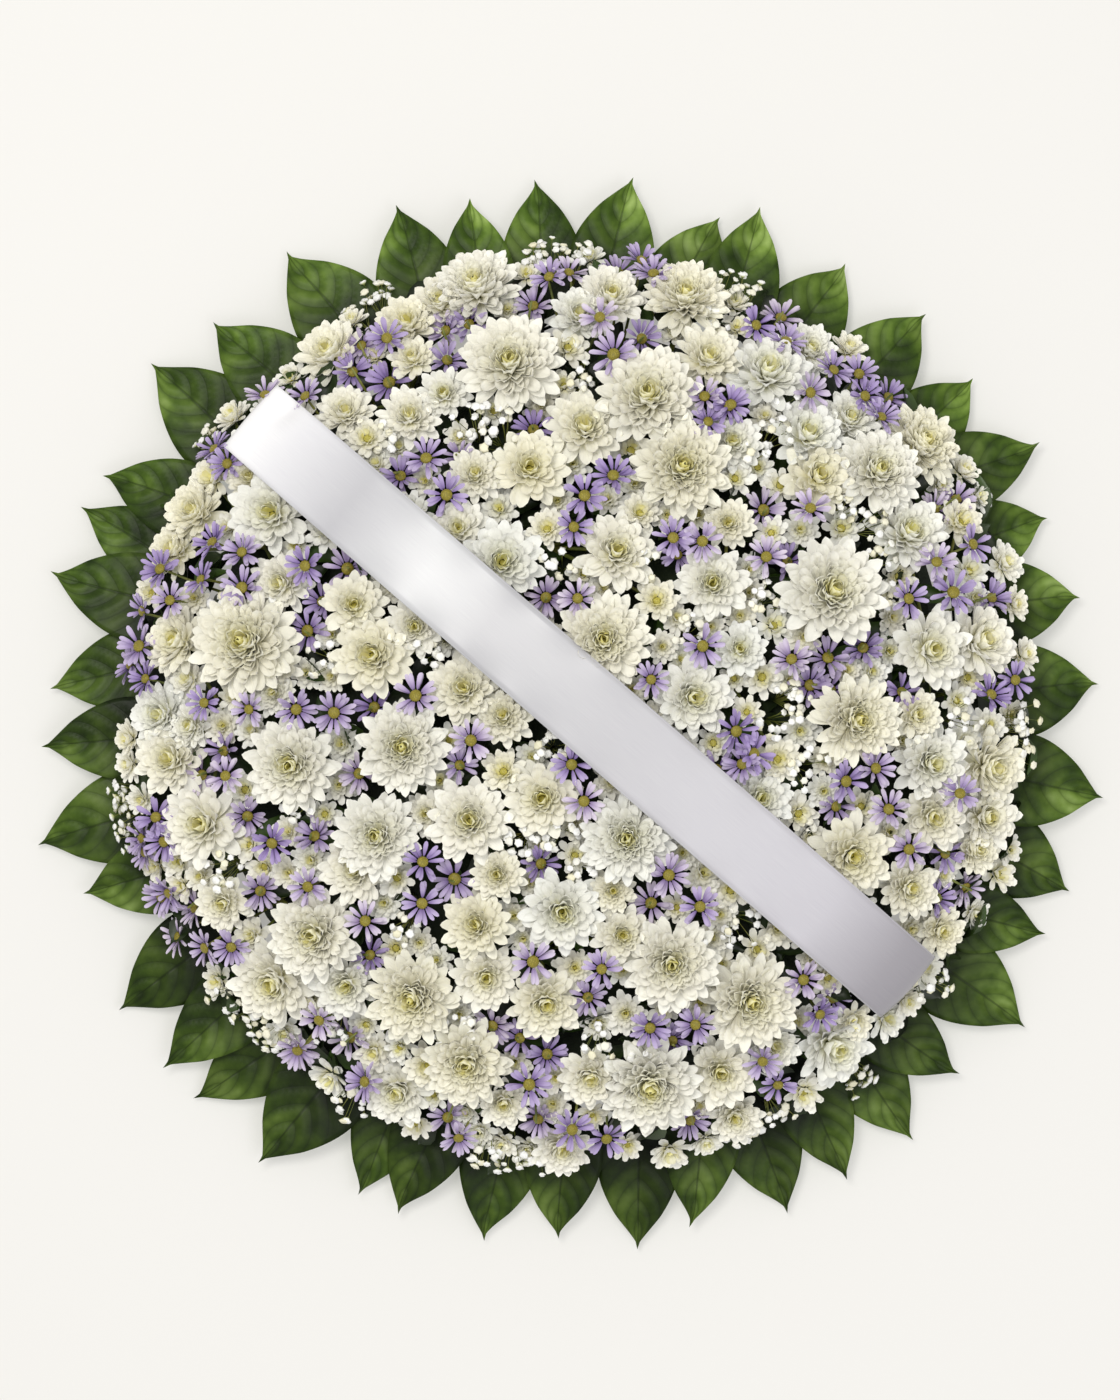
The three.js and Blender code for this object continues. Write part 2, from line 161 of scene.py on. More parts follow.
# %% [markdown]
# The studio
#
# White flowers on white need light that comes from nearly everywhere, with one broad lamp a little to the
# upper left, so that the satin ribbon gets its bright band and each petal a light and a dark side. The
# floor glows faintly, as a light table does, which takes the shadow away from under the leaves.

# %% Floor and lights
FLOOR_REACH, FLOOR_LEVEL, FLOOR_GLOW, SKY_STRENGTH = 6.0, -0.002, 0.36, 0.7
studio_floor, tree, shader = material("pale_studio_floor", 0.9)
shader.inputs["Base Color"].default_value = linear("#BFBEBB")
shader.inputs["Emission Color"].default_value = linear("#F7F5F2")
shader.inputs["Emission Strength"].default_value = FLOOR_GLOW
corners = [(x * FLOOR_REACH, y * FLOOR_REACH, 0) for x, y in ((-1, -1), (1, -1), (1, 1), (-1, 1))]
floor_mesh = bpy.data.meshes.new("floor")
floor_mesh.from_pydata(corners, [], [(0, 1, 2, 3)])
floor_mesh.materials.append(studio_floor)
floor = bpy.data.objects.new("floor", floor_mesh)
floor.location.z = FLOOR_LEVEL
bpy.context.scene.collection.objects.link(floor)

world = bpy.data.worlds.new("studio")
world.use_nodes = True
world.node_tree.nodes["Background"].inputs["Color"].default_value = linear("#F9F8F5")
world.node_tree.nodes["Background"].inputs["Strength"].default_value = SKY_STRENGTH
bpy.context.scene.world = world


def lamp(name, place, size, watts, colour):
    """A square soft box that faces the wreath."""
    light = bpy.data.lights.new(name, "AREA")
    light.shape = "SQUARE"
    light.size = size
    light.energy = watts
    light.color = linear(colour)[:3]
    holder = bpy.data.objects.new(name, light)
    holder.location = place
    holder.rotation_euler = (-Vector(place)).to_track_quat("-Z", "Y").to_euler()
    bpy.context.scene.collection.objects.link(holder)


lamp("key_soft_box", (-0.65, 0.75, 3.3), 1.1, 50, "#FFFDF8")
lamp("fill_soft_box", (1.2, -0.9, 3.0), 1.6, 18, "#F6F8FF")
bpy.context.scene.view_settings.view_transform = "Standard"
bpy.context.scene.cycles.diffuse_bounces = 5  # light goes on from petal to petal deep inside a white bloom
print("studio ready")

# %% [markdown]
# Where the flowers stand
#
# The flower heads' centres lie on half an ellipsoid over the disc. Each plan below gives the places over
# the disc's centre, in millimetres: x to the right, y up, and the head's radius. The solids use the same
# plan, so each dressed flower can be set against its solid's box.

# %% The dome of flowers
DOME_RADIUS, DOME_RIM, DOME_RISE = 432, 35, 150


def on_flowers(x, y, lift=0.0):
    """A place on the dome of flowers, in millimetres over the disc's centre, and the way it faces."""
    level = math.sqrt(max(0.0, 1 - (x * x + y * y) / DOME_RADIUS**2))
    out = Vector((x / DOME_RADIUS**2, y / DOME_RADIUS**2, level / DOME_RISE)).normalized()
    return Vector((x, y, DOME_RIM + level * DOME_RISE + lift)), out


def seated(place, facing, rise):
    """Where a head's foot goes, so that its heart, which stands this much higher, is over the place."""
    return place - Vector((facing.x, facing.y, 0)) * rise


def in_frame(place):
    """Millimetres over the disc's centre, as metres in the frame."""
    return Vector((place[0] * MM + CENTRE.x, place[1] * MM + CENTRE.y, place[2] * MM))


SINGLE_BLOOMS = [
    (-98, 399, 45), (-65, 321, 51), (99, 387, 43), (62, 290, 53), (95, 222, 49), (276, 222, 44),
    (323, 251, 42), (232, 110, 54), (-310, 63, 55), (22, 64, 47), (255, -10, 45), (-265, -51, 47),
    (-161, -34, 45), (-185, -114, 43), (42, -116, 45), (-246, -207, 47), (-155, -266, 46),
    (84, -232, 47), (158, -268, 48), (-105, -327, 44), (65, -350, 50),
]
WHITE_SPRAYS = [
    ((-172, 308), [(-130, 380, 32), (-160, 360, 32), (-235, 335, 35), (-155, 325, 24), (-215, 275, 29),
                   (-155, 270, 31), (-125, 290, 26), (-195, 250, 22)]),
    ((-2, 310), [(0, 365, 29), (30, 385, 35), (5, 260, 38), (-45, 220, 38), (-95, 215, 27)]),
    ((182, 278), [(120, 325, 35), (175, 315, 42), (215, 335, 28), (140, 245, 29), (210, 255, 37),
                  (250, 270, 31), (220, 215, 37)]),
    ((335, 45), [(305, 165, 39), (355, 175, 24), (325, 55, 40), (375, 65, 39), (310, -5, 26),
                 (325, -50, 37), (385, -55, 39)]),
    ((-28, 148), [(-110, 165, 29), (-70, 135, 40), (35, 145, 40), (-30, 165, 20), (55, 180, 20),
                  (70, 100, 22)]),
    ((132, 35), [(135, 170, 25), (120, 115, 36), (145, 55, 27), (105, 10, 38), (165, -80, 32),
                 (180, -45, 23)]),
    ((-320, 165), [(-285, 180, 42), (-360, 185, 33), (-305, 215, 24), (-345, 215, 24), (-380, 150, 28),
                   (-275, 115, 31), (-327, 277, 20)]),
    ((-148, 52), [(-205, 95, 32), (-190, 50, 40), (-150, 75, 29), (-105, 20, 36), (-70, -5, 29)]),
    ((-335, -5), [(-280, 40, 27), (-375, 65, 35), (-390, -5, 33), (-380, -45, 37), (-360, -15, 24),
                  (-350, -105, 42), (-280, 15, 22)]),
    ((320, -135), [(325, -100, 35), (380, -100, 34), (250, -135, 40), (305, -165, 31), (336, -206, 26),
                   (370, -130, 26)]),
    ((-78, -98), [(-100, -100, 41), (-35, -80, 38), (-75, -150, 27), (-140, -95, 22), (-70, -55, 22)]),
    ((-35, -222), [(-15, -185, 40), (-95, -195, 34), (-85, -245, 33), (-30, -270, 36), (40, -205, 31),
                   (30, -165, 22)]),
    ((-285, -180), [(-330, -180, 29), (-285, -255, 43), (-215, -255, 33), (-205, -145, 34)]),
    ((-58, -352), [(-170, -355, 35), (-140, -330, 24), (-70, -365, 26), (10, -340, 31), (-15, -410, 30)]),
    ((190, -335), [(130, -335, 35), (145, -380, 28), (180, -310, 28), (240, -315, 41), (255, -290, 20)]),
]
print("chrysanthemums:", len(SINGLE_BLOOMS), "single,", sum(len(h) for _, h in WHITE_SPRAYS), "on sprays")

# %% [markdown]
# Petals
#
# A chrysanthemum is not one flower but a hundred or more small ones, each with a strap-shaped petal. Here a
# petal is a closed body one unit long: a keel underneath, a shallow channel on top, and a blunt point. Five
# of them go from the tightly curled petals of the middle to the flat ones of the rim. Each has only forty
# triangles, because a bloom repeats it up to 150 times. Attributes called along and across remember where on
# the petal a point lies, so that the material can paint the base, the tip and the fine ridges.

# %% Petal shapes
CURL_POWER = 2.2  # the curl grows faster than the length, so only the tip turns up
KEEL_TAPER, TIP_RISE = 0.7, 0.3


def plain_mesh(name, points, faces):
    """A smooth mesh from points and faces."""
    mesh = bpy.data.meshes.new(name)
    mesh.from_pydata([tuple(p) for p in points], [], faces, shade_flat=False)
    mesh.validate()
    return mesh


def set_values(mesh, name, values, kind="FLOAT"):
    """Stores one value for each point of a mesh, under a name that a material can read."""
    layer = mesh.attributes.new(name, kind, "POINT")
    field = "vector" if kind == "FLOAT_VECTOR" else "value"
    layer.data.foreach_set(field, np.array(values, np.float32).ravel())


def petal_shape(name, outline, curl, cup, keel=0.05):
    """A closed petal along +X, from 0 to 1. The outline lists (along, half width). Curl lifts the tip."""
    points, along, across = [(0, 0, 0)], [0], [0]
    for x, half in outline:
        z = curl * x**CURL_POWER
        thick = keel * (1 - KEEL_TAPER * x)
        for side, up in ((-1, cup * half * 2), (0, 0), (1, cup * half * 2), (0, -thick)):
            points.append((x, side * half, z + up))
            along.append(x)
            across.append(side)
    points.append((1, 0, curl + cup * TIP_RISE))
    along.append(1)
    across.append(0)
    faces = [(0, 1 + k, 1 + (k + 1) % 4) for k in range(4)]
    for ring in range(len(outline) - 1):
        a, b = 1 + 4 * ring, 5 + 4 * ring
        faces += [(a + k, b + k, b + (k + 1) % 4, a + (k + 1) % 4) for k in range(4)]
    last = 1 + 4 * (len(outline) - 1)
    faces += [(last + k, len(points) - 1, last + (k + 1) % 4) for k in range(4)]
    mesh = plain_mesh(name, points, faces)
    shell = bmesh.new()
    shell.from_mesh(mesh)
    bmesh.ops.recalc_face_normals(shell, faces=shell.faces)
    for edge in shell.edges:
        rims = [v.index for v in edge.verts]
        edge.smooth = not all(i in (0, len(points) - 1) or (i - 1) % 4 in (0, 2) for i in rims)
    shell.to_mesh(mesh)
    shell.free()
    set_values(mesh, "along", along)
    set_values(mesh, "across", across)
    return mesh


def shelf(name, meshes):
    """A collection of shapes for a Geometry Nodes tree to pick from, by number. It isn't in the scene."""
    made = bpy.data.collections.new(name)
    for mesh in meshes:
        made.objects.link(bpy.data.objects.new(mesh.name, mesh))
    return made


SPOON = [(0.15, 0.22), (0.40, 0.38), (0.64, 0.49), (0.83, 0.49), (0.95, 0.33)]
STRAP = [(0.15, 0.26), (0.40, 0.43), (0.62, 0.50), (0.81, 0.45), (0.94, 0.24)]
mum_petals = shelf("mum_petals", [
    petal_shape("mum_petal_0", SPOON, 0.34, 0.20),
    petal_shape("mum_petal_1", SPOON, 0.34, 0.19),
    petal_shape("mum_petal_2", SPOON, 0.30, 0.17),
    petal_shape("mum_petal_3", SPOON, 0.22, 0.15),
    petal_shape("mum_petal_4", STRAP, 0.12, 0.10),
])

# %% [markdown]
# A bloom from one rule
#
# The petals of every chrysanthemum and daisy follow one rule of growth: each new one stands 137.5 degrees
# round from the last. Geometry Nodes can say that directly. A row of points gets its angle from its
# number, and its age, from 0 in the middle to 1 at the rim, sets how far each petal leans out, how long it
# is and how wide. The same tree makes chrysanthemums and daisies, because its sizes are named inputs.

# %% The bloom tree
GOLDEN_ANGLE = math.radians(137.508)
BLOOM_INPUTS = {
    "Petals": ("NodeSocketInt", 160), "Shapes": ("NodeSocketCollection", None),
    "Kinds": ("NodeSocketInt", 5), "Seed": ("NodeSocketInt", 1),
    "Inner lean": ("NodeSocketFloat", 66.0), "Outer lean": ("NodeSocketFloat", 5.0),
    "Inner length": ("NodeSocketFloat", 0.36), "Outer length": ("NodeSocketFloat", 0.86),
    "Inner width": ("NodeSocketFloat", 0.19), "Outer width": ("NodeSocketFloat", 0.20),
    "Heart": ("NodeSocketFloat", 0.045), "Heart rise": ("NodeSocketFloat", 0.12),
    "Heart detail": ("NodeSocketInt", 2),
    "Collar": ("NodeSocketFloat", 0.15), "Collar drop": ("NodeSocketFloat", 0.16),
    "Unrest": ("NodeSocketFloat", 1.0), "Bend": ("NodeSocketFloat", 0.7),
}


def new_tree(name, inputs):
    """An empty Geometry Nodes tree with these named inputs, one geometry in and one out."""
    tree = bpy.data.node_groups.new(name, "GeometryNodeTree")
    tree.interface.new_socket("Geometry", in_out="INPUT", socket_type="NodeSocketGeometry")
    tree.interface.new_socket("Geometry", in_out="OUTPUT", socket_type="NodeSocketGeometry")
    for key, (kind, value) in inputs.items():
        socket = tree.interface.new_socket(key, in_out="INPUT", socket_type=kind)
        if value is not None:
            socket.default_value = value
    return tree, tree.nodes.new("NodeGroupInput"), tree.nodes.new("NodeGroupOutput")


TURN_UNREST, LEAN_UNREST, TWIST_UNREST = 0.16, 11.0, 0.2  # radians, degrees and radians
SHORTEST, LONGEST = 0.99, 1.05  # of the length that its age gives a petal
HEART_FLATNESS = (1.0, 1.0, 0.55)

tree, given, result = new_tree("bloom", BLOOM_INPUTS)
bloom_tree, size = tree, given.outputs
number = add(tree, "GeometryNodeInputIndex")
step = add(tree, "ShaderNodeMath", {"operation": "ADD", 0: number, 1: 0.5})
age = add(tree, "ShaderNodeMath", {"operation": "DIVIDE", 0: step, 1: size["Petals"]})
chance = add(tree, "FunctionNodeRandomValue", {
    "data_type": "FLOAT_VECTOR", 0: (-1, -1, -1), 1: (1, 1, 1), "Seed": size["Seed"]})
jitter = add(tree, "ShaderNodeSeparateXYZ", {0: chance})
unrest = [add(tree, "ShaderNodeMath", {"operation": "MULTIPLY", 0: part, 1: size["Unrest"]})
          for part in jitter.outputs]
wander, wild, swing = [
    add(tree, "ShaderNodeMath", {"operation": "MULTIPLY", 0: part, 1: most})
    for part, most in zip(unrest, (TURN_UNREST, LEAN_UNREST, TWIST_UNREST))]

# Where each petal starts: round by the golden angle, outwards and down from the heart to the collar.
spun = add(tree, "ShaderNodeMath", {"operation": "MULTIPLY", 0: number, 1: GOLDEN_ANGLE})
turn = add(tree, "ShaderNodeMath", {"operation": "ADD", 0: spun, 1: wander})
reach = add(tree, "ShaderNodeMapRange", {"Value": age, "To Min": size["Heart"], "To Max": size["Collar"]})
fall = add(tree, "ShaderNodeMath", {"operation": "MULTIPLY", 0: age, 1: size["Collar drop"]})
height = add(tree, "ShaderNodeMath", {"operation": "SUBTRACT", 0: size["Heart rise"], 1: fall})
spoke = add(tree, "ShaderNodeCombineXYZ", {0: reach, 2: height})
place = add(tree, "ShaderNodeVectorRotate", {"rotation_type": "Z_AXIS", "Vector": spoke, "Angle": turn})
placed = add(tree, "GeometryNodeSetPosition", {
    "Geometry": add(tree, "GeometryNodePoints", {"Count": size["Petals"]}), "Position": place})
aged = add(tree, "GeometryNodeStoreNamedAttribute", {
    "data_type": "FLOAT", "domain": "POINT", "Name": "age", "Geometry": placed, "Value": age})

# How each petal leans, and its size.
bend = add(tree, "ShaderNodeMath", {"operation": "POWER", 0: age, 1: size["Bend"]})
even, grown, wide = [
    add(tree, "ShaderNodeMapRange", {
        "Value": by, "To Min": size["Inner " + key], "To Max": size["Outer " + key]})
    for by, key in ((bend, "lean"), (age, "length"), (age, "width"))]
leaning = add(tree, "ShaderNodeMath", {"operation": "ADD", 0: even, 1: wild})
lean = add(tree, "ShaderNodeMath", {"operation": "RADIANS", 0: leaning})
rise = add(tree, "ShaderNodeMath", {"operation": "MULTIPLY", 0: lean, 1: -1.0})
facing = add(tree, "FunctionNodeEulerToRotation", {
    0: add(tree, "ShaderNodeCombineXYZ", {0: swing, 1: rise, 2: turn})})
luck = add(tree, "ShaderNodeMapRange", {
    "Value": jitter.outputs[1], "To Min": SHORTEST, "To Max": LONGEST})
long = add(tree, "ShaderNodeMath", {"operation": "MULTIPLY", 0: grown, 1: luck})
scale = add(tree, "ShaderNodeCombineXYZ", {0: long, 1: wide, 2: long})

# Petals on the points, and a flattened ball of tiny florets in the middle, marked by an age below nought.
shapes = add(tree, "GeometryNodeCollectionInfo", {
    "Separate Children": True, "Reset Children": True, "Collection": size["Shapes"]})
rank = add(tree, "ShaderNodeMath", {"operation": "MULTIPLY", 0: age, 1: size["Kinds"]})
petals = add(tree, "GeometryNodeInstanceOnPoints", {
    "Pick Instance": True, "Points": aged, "Instance": shapes, "Rotation": facing, "Scale": scale,
    "Instance Index": add(tree, "ShaderNodeMath", {"operation": "FLOOR", 0: rank})})
button = add(tree, "GeometryNodeMeshIcoSphere", {
    "Radius": size["Heart"], "Subdivisions": size["Heart detail"]})
flat = add(tree, "GeometryNodeTransform", {
    "Scale": HEART_FLATNESS, "Geometry": button,
    "Translation": add(tree, "ShaderNodeCombineXYZ", {2: size["Heart rise"]})})
marked = add(tree, "GeometryNodeStoreNamedAttribute", {
    "data_type": "FLOAT", "domain": "POINT", "Name": "age", "Value": -1.0, "Geometry": flat})
both = add(tree, "GeometryNodeJoinGeometry", {0: marked})
tree.links.new(petals.outputs[0], both.inputs[0])
real = add(tree, "GeometryNodeRealizeInstances", {"Geometry": both})
tree.links.new(real.outputs[0], result.inputs[0])
print("bloom tree:", len(bloom_tree.nodes), "nodes")

# %% [markdown]
# From a tree to a plain mesh
#
# A modifier with a tree is only a promise of a mesh. This helper gives the modifier its inputs, by each
# socket's own identifier, lets Blender work it out once, and keeps the result as an ordinary mesh.

# %% Growing a tree into a mesh
def grow(name, tree, values, start=None):
    """The plain mesh that a tree makes from these named inputs and an optional starting mesh."""
    seedling = bpy.data.objects.new(name, start or bpy.data.meshes.new(name))
    bpy.context.scene.collection.objects.link(seedling)
    growing = seedling.modifiers.new("growing", "NODES")
    growing.node_group = tree
    for item in tree.interface.items_tree:
        if item.item_type == "SOCKET" and item.in_out == "INPUT" and item.name in values:
            growing[item.identifier] = values[item.name]
    bpy.context.view_layer.update()
    evaluated = seedling.evaluated_get(bpy.context.evaluated_depsgraph_get())
    mesh = bpy.data.meshes.new_from_object(evaluated)
    mesh.name = name
    bpy.data.objects.remove(seedling)
    return mesh


def triangles(mesh):
    """How many triangles a mesh has."""
    return sum(len(face.vertices) - 2 for face in mesh.polygons)


def heads_of(name, seed, shapes, common, rows):
    """Heads of one kind. A row is a head's count of petals, its outer petals' width, and its heart's radius."""
    own = [dict(zip(("Petals", "Outer width", "Heart"), row)) for row in rows]
    return [grow(f"{name}_{i}", bloom_tree, {"Shapes": shapes, "Seed": seed + i, **common, **values})
            for i, values in enumerate(own)]


blooms = heads_of("bloom", 11, mum_petals, {}, [(150, 0.25), (138, 0.26), (146, 0.24), (130, 0.27)])
pompons = heads_of("pompon", 31, mum_petals, {"Inner width": 0.22}, [
    (80, 0.30, 0.05), (72, 0.31, 0.06), (76, 0.30, 0.05), (64, 0.32, 0.08), (46, 0.33, 0.15)])
print("bloom triangles:", [triangles(m) for m in blooms + pompons])

# %% [markdown]
# The living petals
#
# A white chrysanthemum petal is soft tissue full of air and water: matt, bright, and greenish yellow where
# young petals crowd the heart. So the colour runs from olive in the button, through pale yellow, to cream
# and white at the rim, and each petal is a little deeper at its base. Ridges about half a millimetre apart
# run along each petal, drawn from the across attribute. Tint is one number per head, from creamy to cool.

# %% Petal materials
FLORETS_A_METRE, FLORET_RELIEF = 900.0, -4.0
PETAL_ROUGHNESS, PETAL_SHEEN = 0.55, 0.08
RIB_STRENGTH, RIB_DEPTH = 0.16, 0.0003


def petal_material(name, heart, petal, base, tint, ridge):
    """Living petals: colour by age over the bloom and along the petal, with fine lengthwise ridges."""
    made, tree, shader = material(name, PETAL_ROUGHNESS, Sheen_Weight=PETAL_SHEEN)
    age, along, across, shade = [
        add(tree, "ShaderNodeAttribute", {"attribute_name": mark}).outputs["Fac"]
        for mark in ("age", "along", "across", "tint")]
    ray = washes(tree, (age, petal), (along, base), (shade, tint))
    spot = add(tree, "ShaderNodeTexCoord").outputs["Object"]
    florets = add(tree, "ShaderNodeTexVoronoi", {"Scale": FLORETS_A_METRE, "Vector": spot}).outputs["Distance"]
    is_heart = add(tree, "ShaderNodeMath", {"operation": "LESS_THAN", 0: age, 1: -0.5})
    colour = add(tree, "ShaderNodeMix", {
        "data_type": "RGBA", 0: is_heart, 6: ray, 7: washes(tree, (florets, heart))}).outputs[2]
    wave = add(tree, "ShaderNodeMath", {"operation": "MULTIPLY", 0: across, 1: ridge})
    ribs = add(tree, "ShaderNodeMath", {"operation": "SINE", 0: wave})
    grain = add(tree, "ShaderNodeMath", {"operation": "MULTIPLY", 0: florets, 1: FLORET_RELIEF})
    lumps = add(tree, "ShaderNodeMath", {"operation": "MULTIPLY", 0: is_heart, 1: grain})
    relief = add(tree, "ShaderNodeMath", {"operation": "ADD", 0: ribs, 1: lumps})
    coat(tree, shader, colour, relief, RIB_STRENGTH, RIB_DEPTH)
    return made


white_petal = petal_material(
    "chrysanthemum_ray_petal",
    heart=[(0.0, "#DDD67A"), (0.5, "#A9A045")],
    petal=[(0.0, "#EFE996"), (0.05, "#FAF7D2"), (0.2, "#FBFAEF"), (0.6, "#FAF9F4"), (1.0, "#F9F9F5")],
    base=[(0.0, "#F5F1C2"), (0.25, "#FDFCEE"), (0.5, "#FFFFFF")],
    tint=[(0.0, "#FEFCF1"), (0.5, "#FFFEFA"), (1.0, "#FCFDFD")],
    ridge=18.0)
print("petal material:", white_petal.name)

# %% [markdown]
# Setting out the heads
#
# A second tree plants finished heads at marked points. Each point carries the way the head faces, its
# size, which head it is and its tint. The tree turns the heads into real faces and gives them their
# material. The same tree also sets out daisies, small blossoms and the leaves of the undergrowth further on.

# %% The planting tree
planting_tree, given, result = new_tree("planting", {
    "Heads": ("NodeSocketCollection", None), "Material": ("NodeSocketMaterial", None)})
heads = add(planting_tree, "GeometryNodeCollectionInfo", {
    "Separate Children": True, "Reset Children": True, "Collection": given.outputs["Heads"]})
turn, size, kind = [
    add(planting_tree, "GeometryNodeInputNamedAttribute", {"data_type": data, "Name": mark})
    for mark, data in (("turn", "FLOAT_VECTOR"), ("size", "FLOAT_VECTOR"), ("kind", "FLOAT"))]
turned = add(planting_tree, "FunctionNodeEulerToRotation", {0: turn})
set_out = add(planting_tree, "GeometryNodeInstanceOnPoints", {
    "Pick Instance": True, "Points": given.outputs["Geometry"], "Instance": heads, "Instance Index": kind,
    "Rotation": turned, "Scale": size})
real = add(planting_tree, "GeometryNodeRealizeInstances", {"Geometry": set_out})
painted = add(planting_tree, "GeometryNodeSetMaterial", {
    "Geometry": real, "Material": given.outputs["Material"]})
planting_tree.links.new(painted.outputs[0], result.inputs[0])


def plant(name, spots, heads, skin):
    """Heads at these spots, as one mesh. A spot is (place, out, spin, size, kind, tint), in millimetres."""
    bed = bpy.data.meshes.new(name)
    bed.from_pydata([tuple(in_frame(s[0])) for s in spots], [], [])
    turns = [(s[1].to_track_quat("Z", "Y") @ Quaternion((0, 0, 1), s[2])).to_euler() for s in spots]
    sizes = [s[3] if hasattr(s[3], "__len__") else (s[3],) * 3 for s in spots]
    set_values(bed, "turn", [tuple(t) for t in turns], "FLOAT_VECTOR")
    set_values(bed, "size", [[v * MM for v in s] for s in sizes], "FLOAT_VECTOR")
    set_values(bed, "kind", [s[4] for s in spots])
    set_values(bed, "tint", [s[5] for s in spots])
    return grow(name, planting_tree, {"Heads": heads, "Material": skin}, bed)


def piece(name, mesh, stands_for=()):
    """A finished piece of the wreath, which rides on its one body."""
    made = bpy.data.objects.new(name, mesh)
    bpy.context.scene.collection.objects.link(made)
    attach(made, BODY)
    if stands_for:
        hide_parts(*stands_for)
    return made


print("planting tree:", len(planting_tree.nodes), "nodes")

# %% [markdown]
# The single chrysanthemums
#
# Each stands on its own stem and faces straight out of the dome, with a small turn of its own. They stand a
# little above the sprays, so their outer petals lie over their neighbours.

# %% Single chrysanthemums
SINGLE_LIFT, SPRAY_LIFT = 5, -5
UPRIGHT = Vector((0, 0.13, 0))  # all flowers look up a little, as they were arranged on a stand
LEVELLED = Vector((0, 0, 0.45))  # and forwards, even at the rim
ANY_TURN = 6.28  # radians
# A kind's habit: how unevenly its heads face, and, times a head's radius, its heart's rise and its spread.
SINGLE_HABIT, SPRAY_HABIT, DAISY_HABIT = (0.08, 0.55, 1.04), (0.2, 0.5, 1.1), (0.46, 0.35, 1.02)
large_heads = shelf("large_heads", blooms)
small_heads = shelf("small_heads", pompons)
rng = random.Random(7)


def looking(out, unrest):
    """The way a head faces: out of the dome, a little upwards, and not quite like its neighbours."""
    return (out + LEVELLED + UPRIGHT + Vector([rng.uniform(-unrest, unrest) for _ in range(3)])).normalized()


def head_spot(place, out, radius, habit, kind=None):
    """One head, with a facing, a spin and a tint of its own, and a shape by chance where none is given."""
    unrest, rise, spread = habit
    facing = looking(out, unrest)
    spin = rng.uniform(0, ANY_TURN)
    kind = rng.randrange(4) if kind is None else kind
    return seated(place, facing, rise * radius), facing, spin, spread * radius, kind, rng.random()


for i, (x, y, radius) in enumerate(SINGLE_BLOOMS):
    place, out = on_flowers(x, y, SINGLE_LIFT)
    spot = head_spot(place, out, radius, SINGLE_HABIT, i % 4)
    name = f"chrysanthemum_{i + 1:02d}"
    piece(name + "_bloom", plant(name + "_bloom", [spot], large_heads, white_petal), [name])
print("single blooms:", len(SINGLE_BLOOMS))

# %% Spray chrysanthemums
BUD_RADIUS, BUD_KIND, BUD_CHANCE = 25, 4, 0.6  # the smallest heads are often the half-open kind
for i, (_, heads) in enumerate(WHITE_SPRAYS):
    spots = []
    for x, y, radius in heads:
        place, out = on_flowers(x, y, SPRAY_LIFT)
        kind = BUD_KIND if radius < BUD_RADIUS and rng.random() < BUD_CHANCE else rng.randrange(4)
        spots.append(head_spot(place, out, radius, SPRAY_HABIT, kind))
    name = f"spray_chrysanthemum_{i + 1:02d}"
    piece(name + "_blooms", plant(name + "_blooms", spots, small_heads, white_petal), [name])
print("spray blooms:", sum(len(heads) for _, heads in WHITE_SPRAYS))

# %% [markdown]
# Daisies
#
# The lilac flowers are a daisy type: one or two rings of flat petals round an olive button of tiny florets.
# The bloom tree makes them too, with few petals, a wide heart and hardly any rise. They stand in the gaps
# between the chrysanthemums, a little proud of them, in loose clusters of two to six on one forked stem.

# %% Daisy heads and their plan
LILAC_PETAL = [(0.15, 0.26), (0.45, 0.44), (0.76, 0.50), (0.93, 0.34)]
daisy_petals = shelf("daisy_petals", [
    petal_shape("daisy_petal_0", LILAC_PETAL, 0.10, 0.10),
    petal_shape("daisy_petal_1", LILAC_PETAL, -0.02, 0.08),
])
daisy_heads = shelf("daisy_heads", heads_of("daisy", 51, daisy_petals, {
    "Kinds": 2, "Inner lean": 26.0, "Outer lean": 6.0, "Bend": 1.0, "Unrest": 1.6,
    "Inner length": 0.70, "Outer length": 0.80, "Inner width": 0.20, "Outer width": 0.23,
    "Heart": 0.25, "Heart rise": 0.06, "Heart detail": 3, "Collar": 0.22, "Collar drop": 0.06,
}, [(19,), (17,), (21,), (16,)]))
lilac_petal = petal_material(
    "lilac_daisy_ray_petal",
    heart=[(0.0, "#BDAE3A"), (0.45, "#7F741B")],
    petal=[(0.0, "#EEEAF6"), (1.0, "#F4F1F9")],
    # the petals' base is deeper lilac, partly their own colour and partly painted shade where they crowd round
    # the heart
    base=[(0.0, "#8F7DA6"), (0.25, "#BCAECF"), (0.6, "#EDE8F3"), (1.0, "#FFFFFF")],
    tint=[(0.0, "#BBABD2"), (0.3, "#CBBFDB"), (0.65, "#DBD2E2"), (0.9, "#EAE4E8")],
    ridge=14.0)
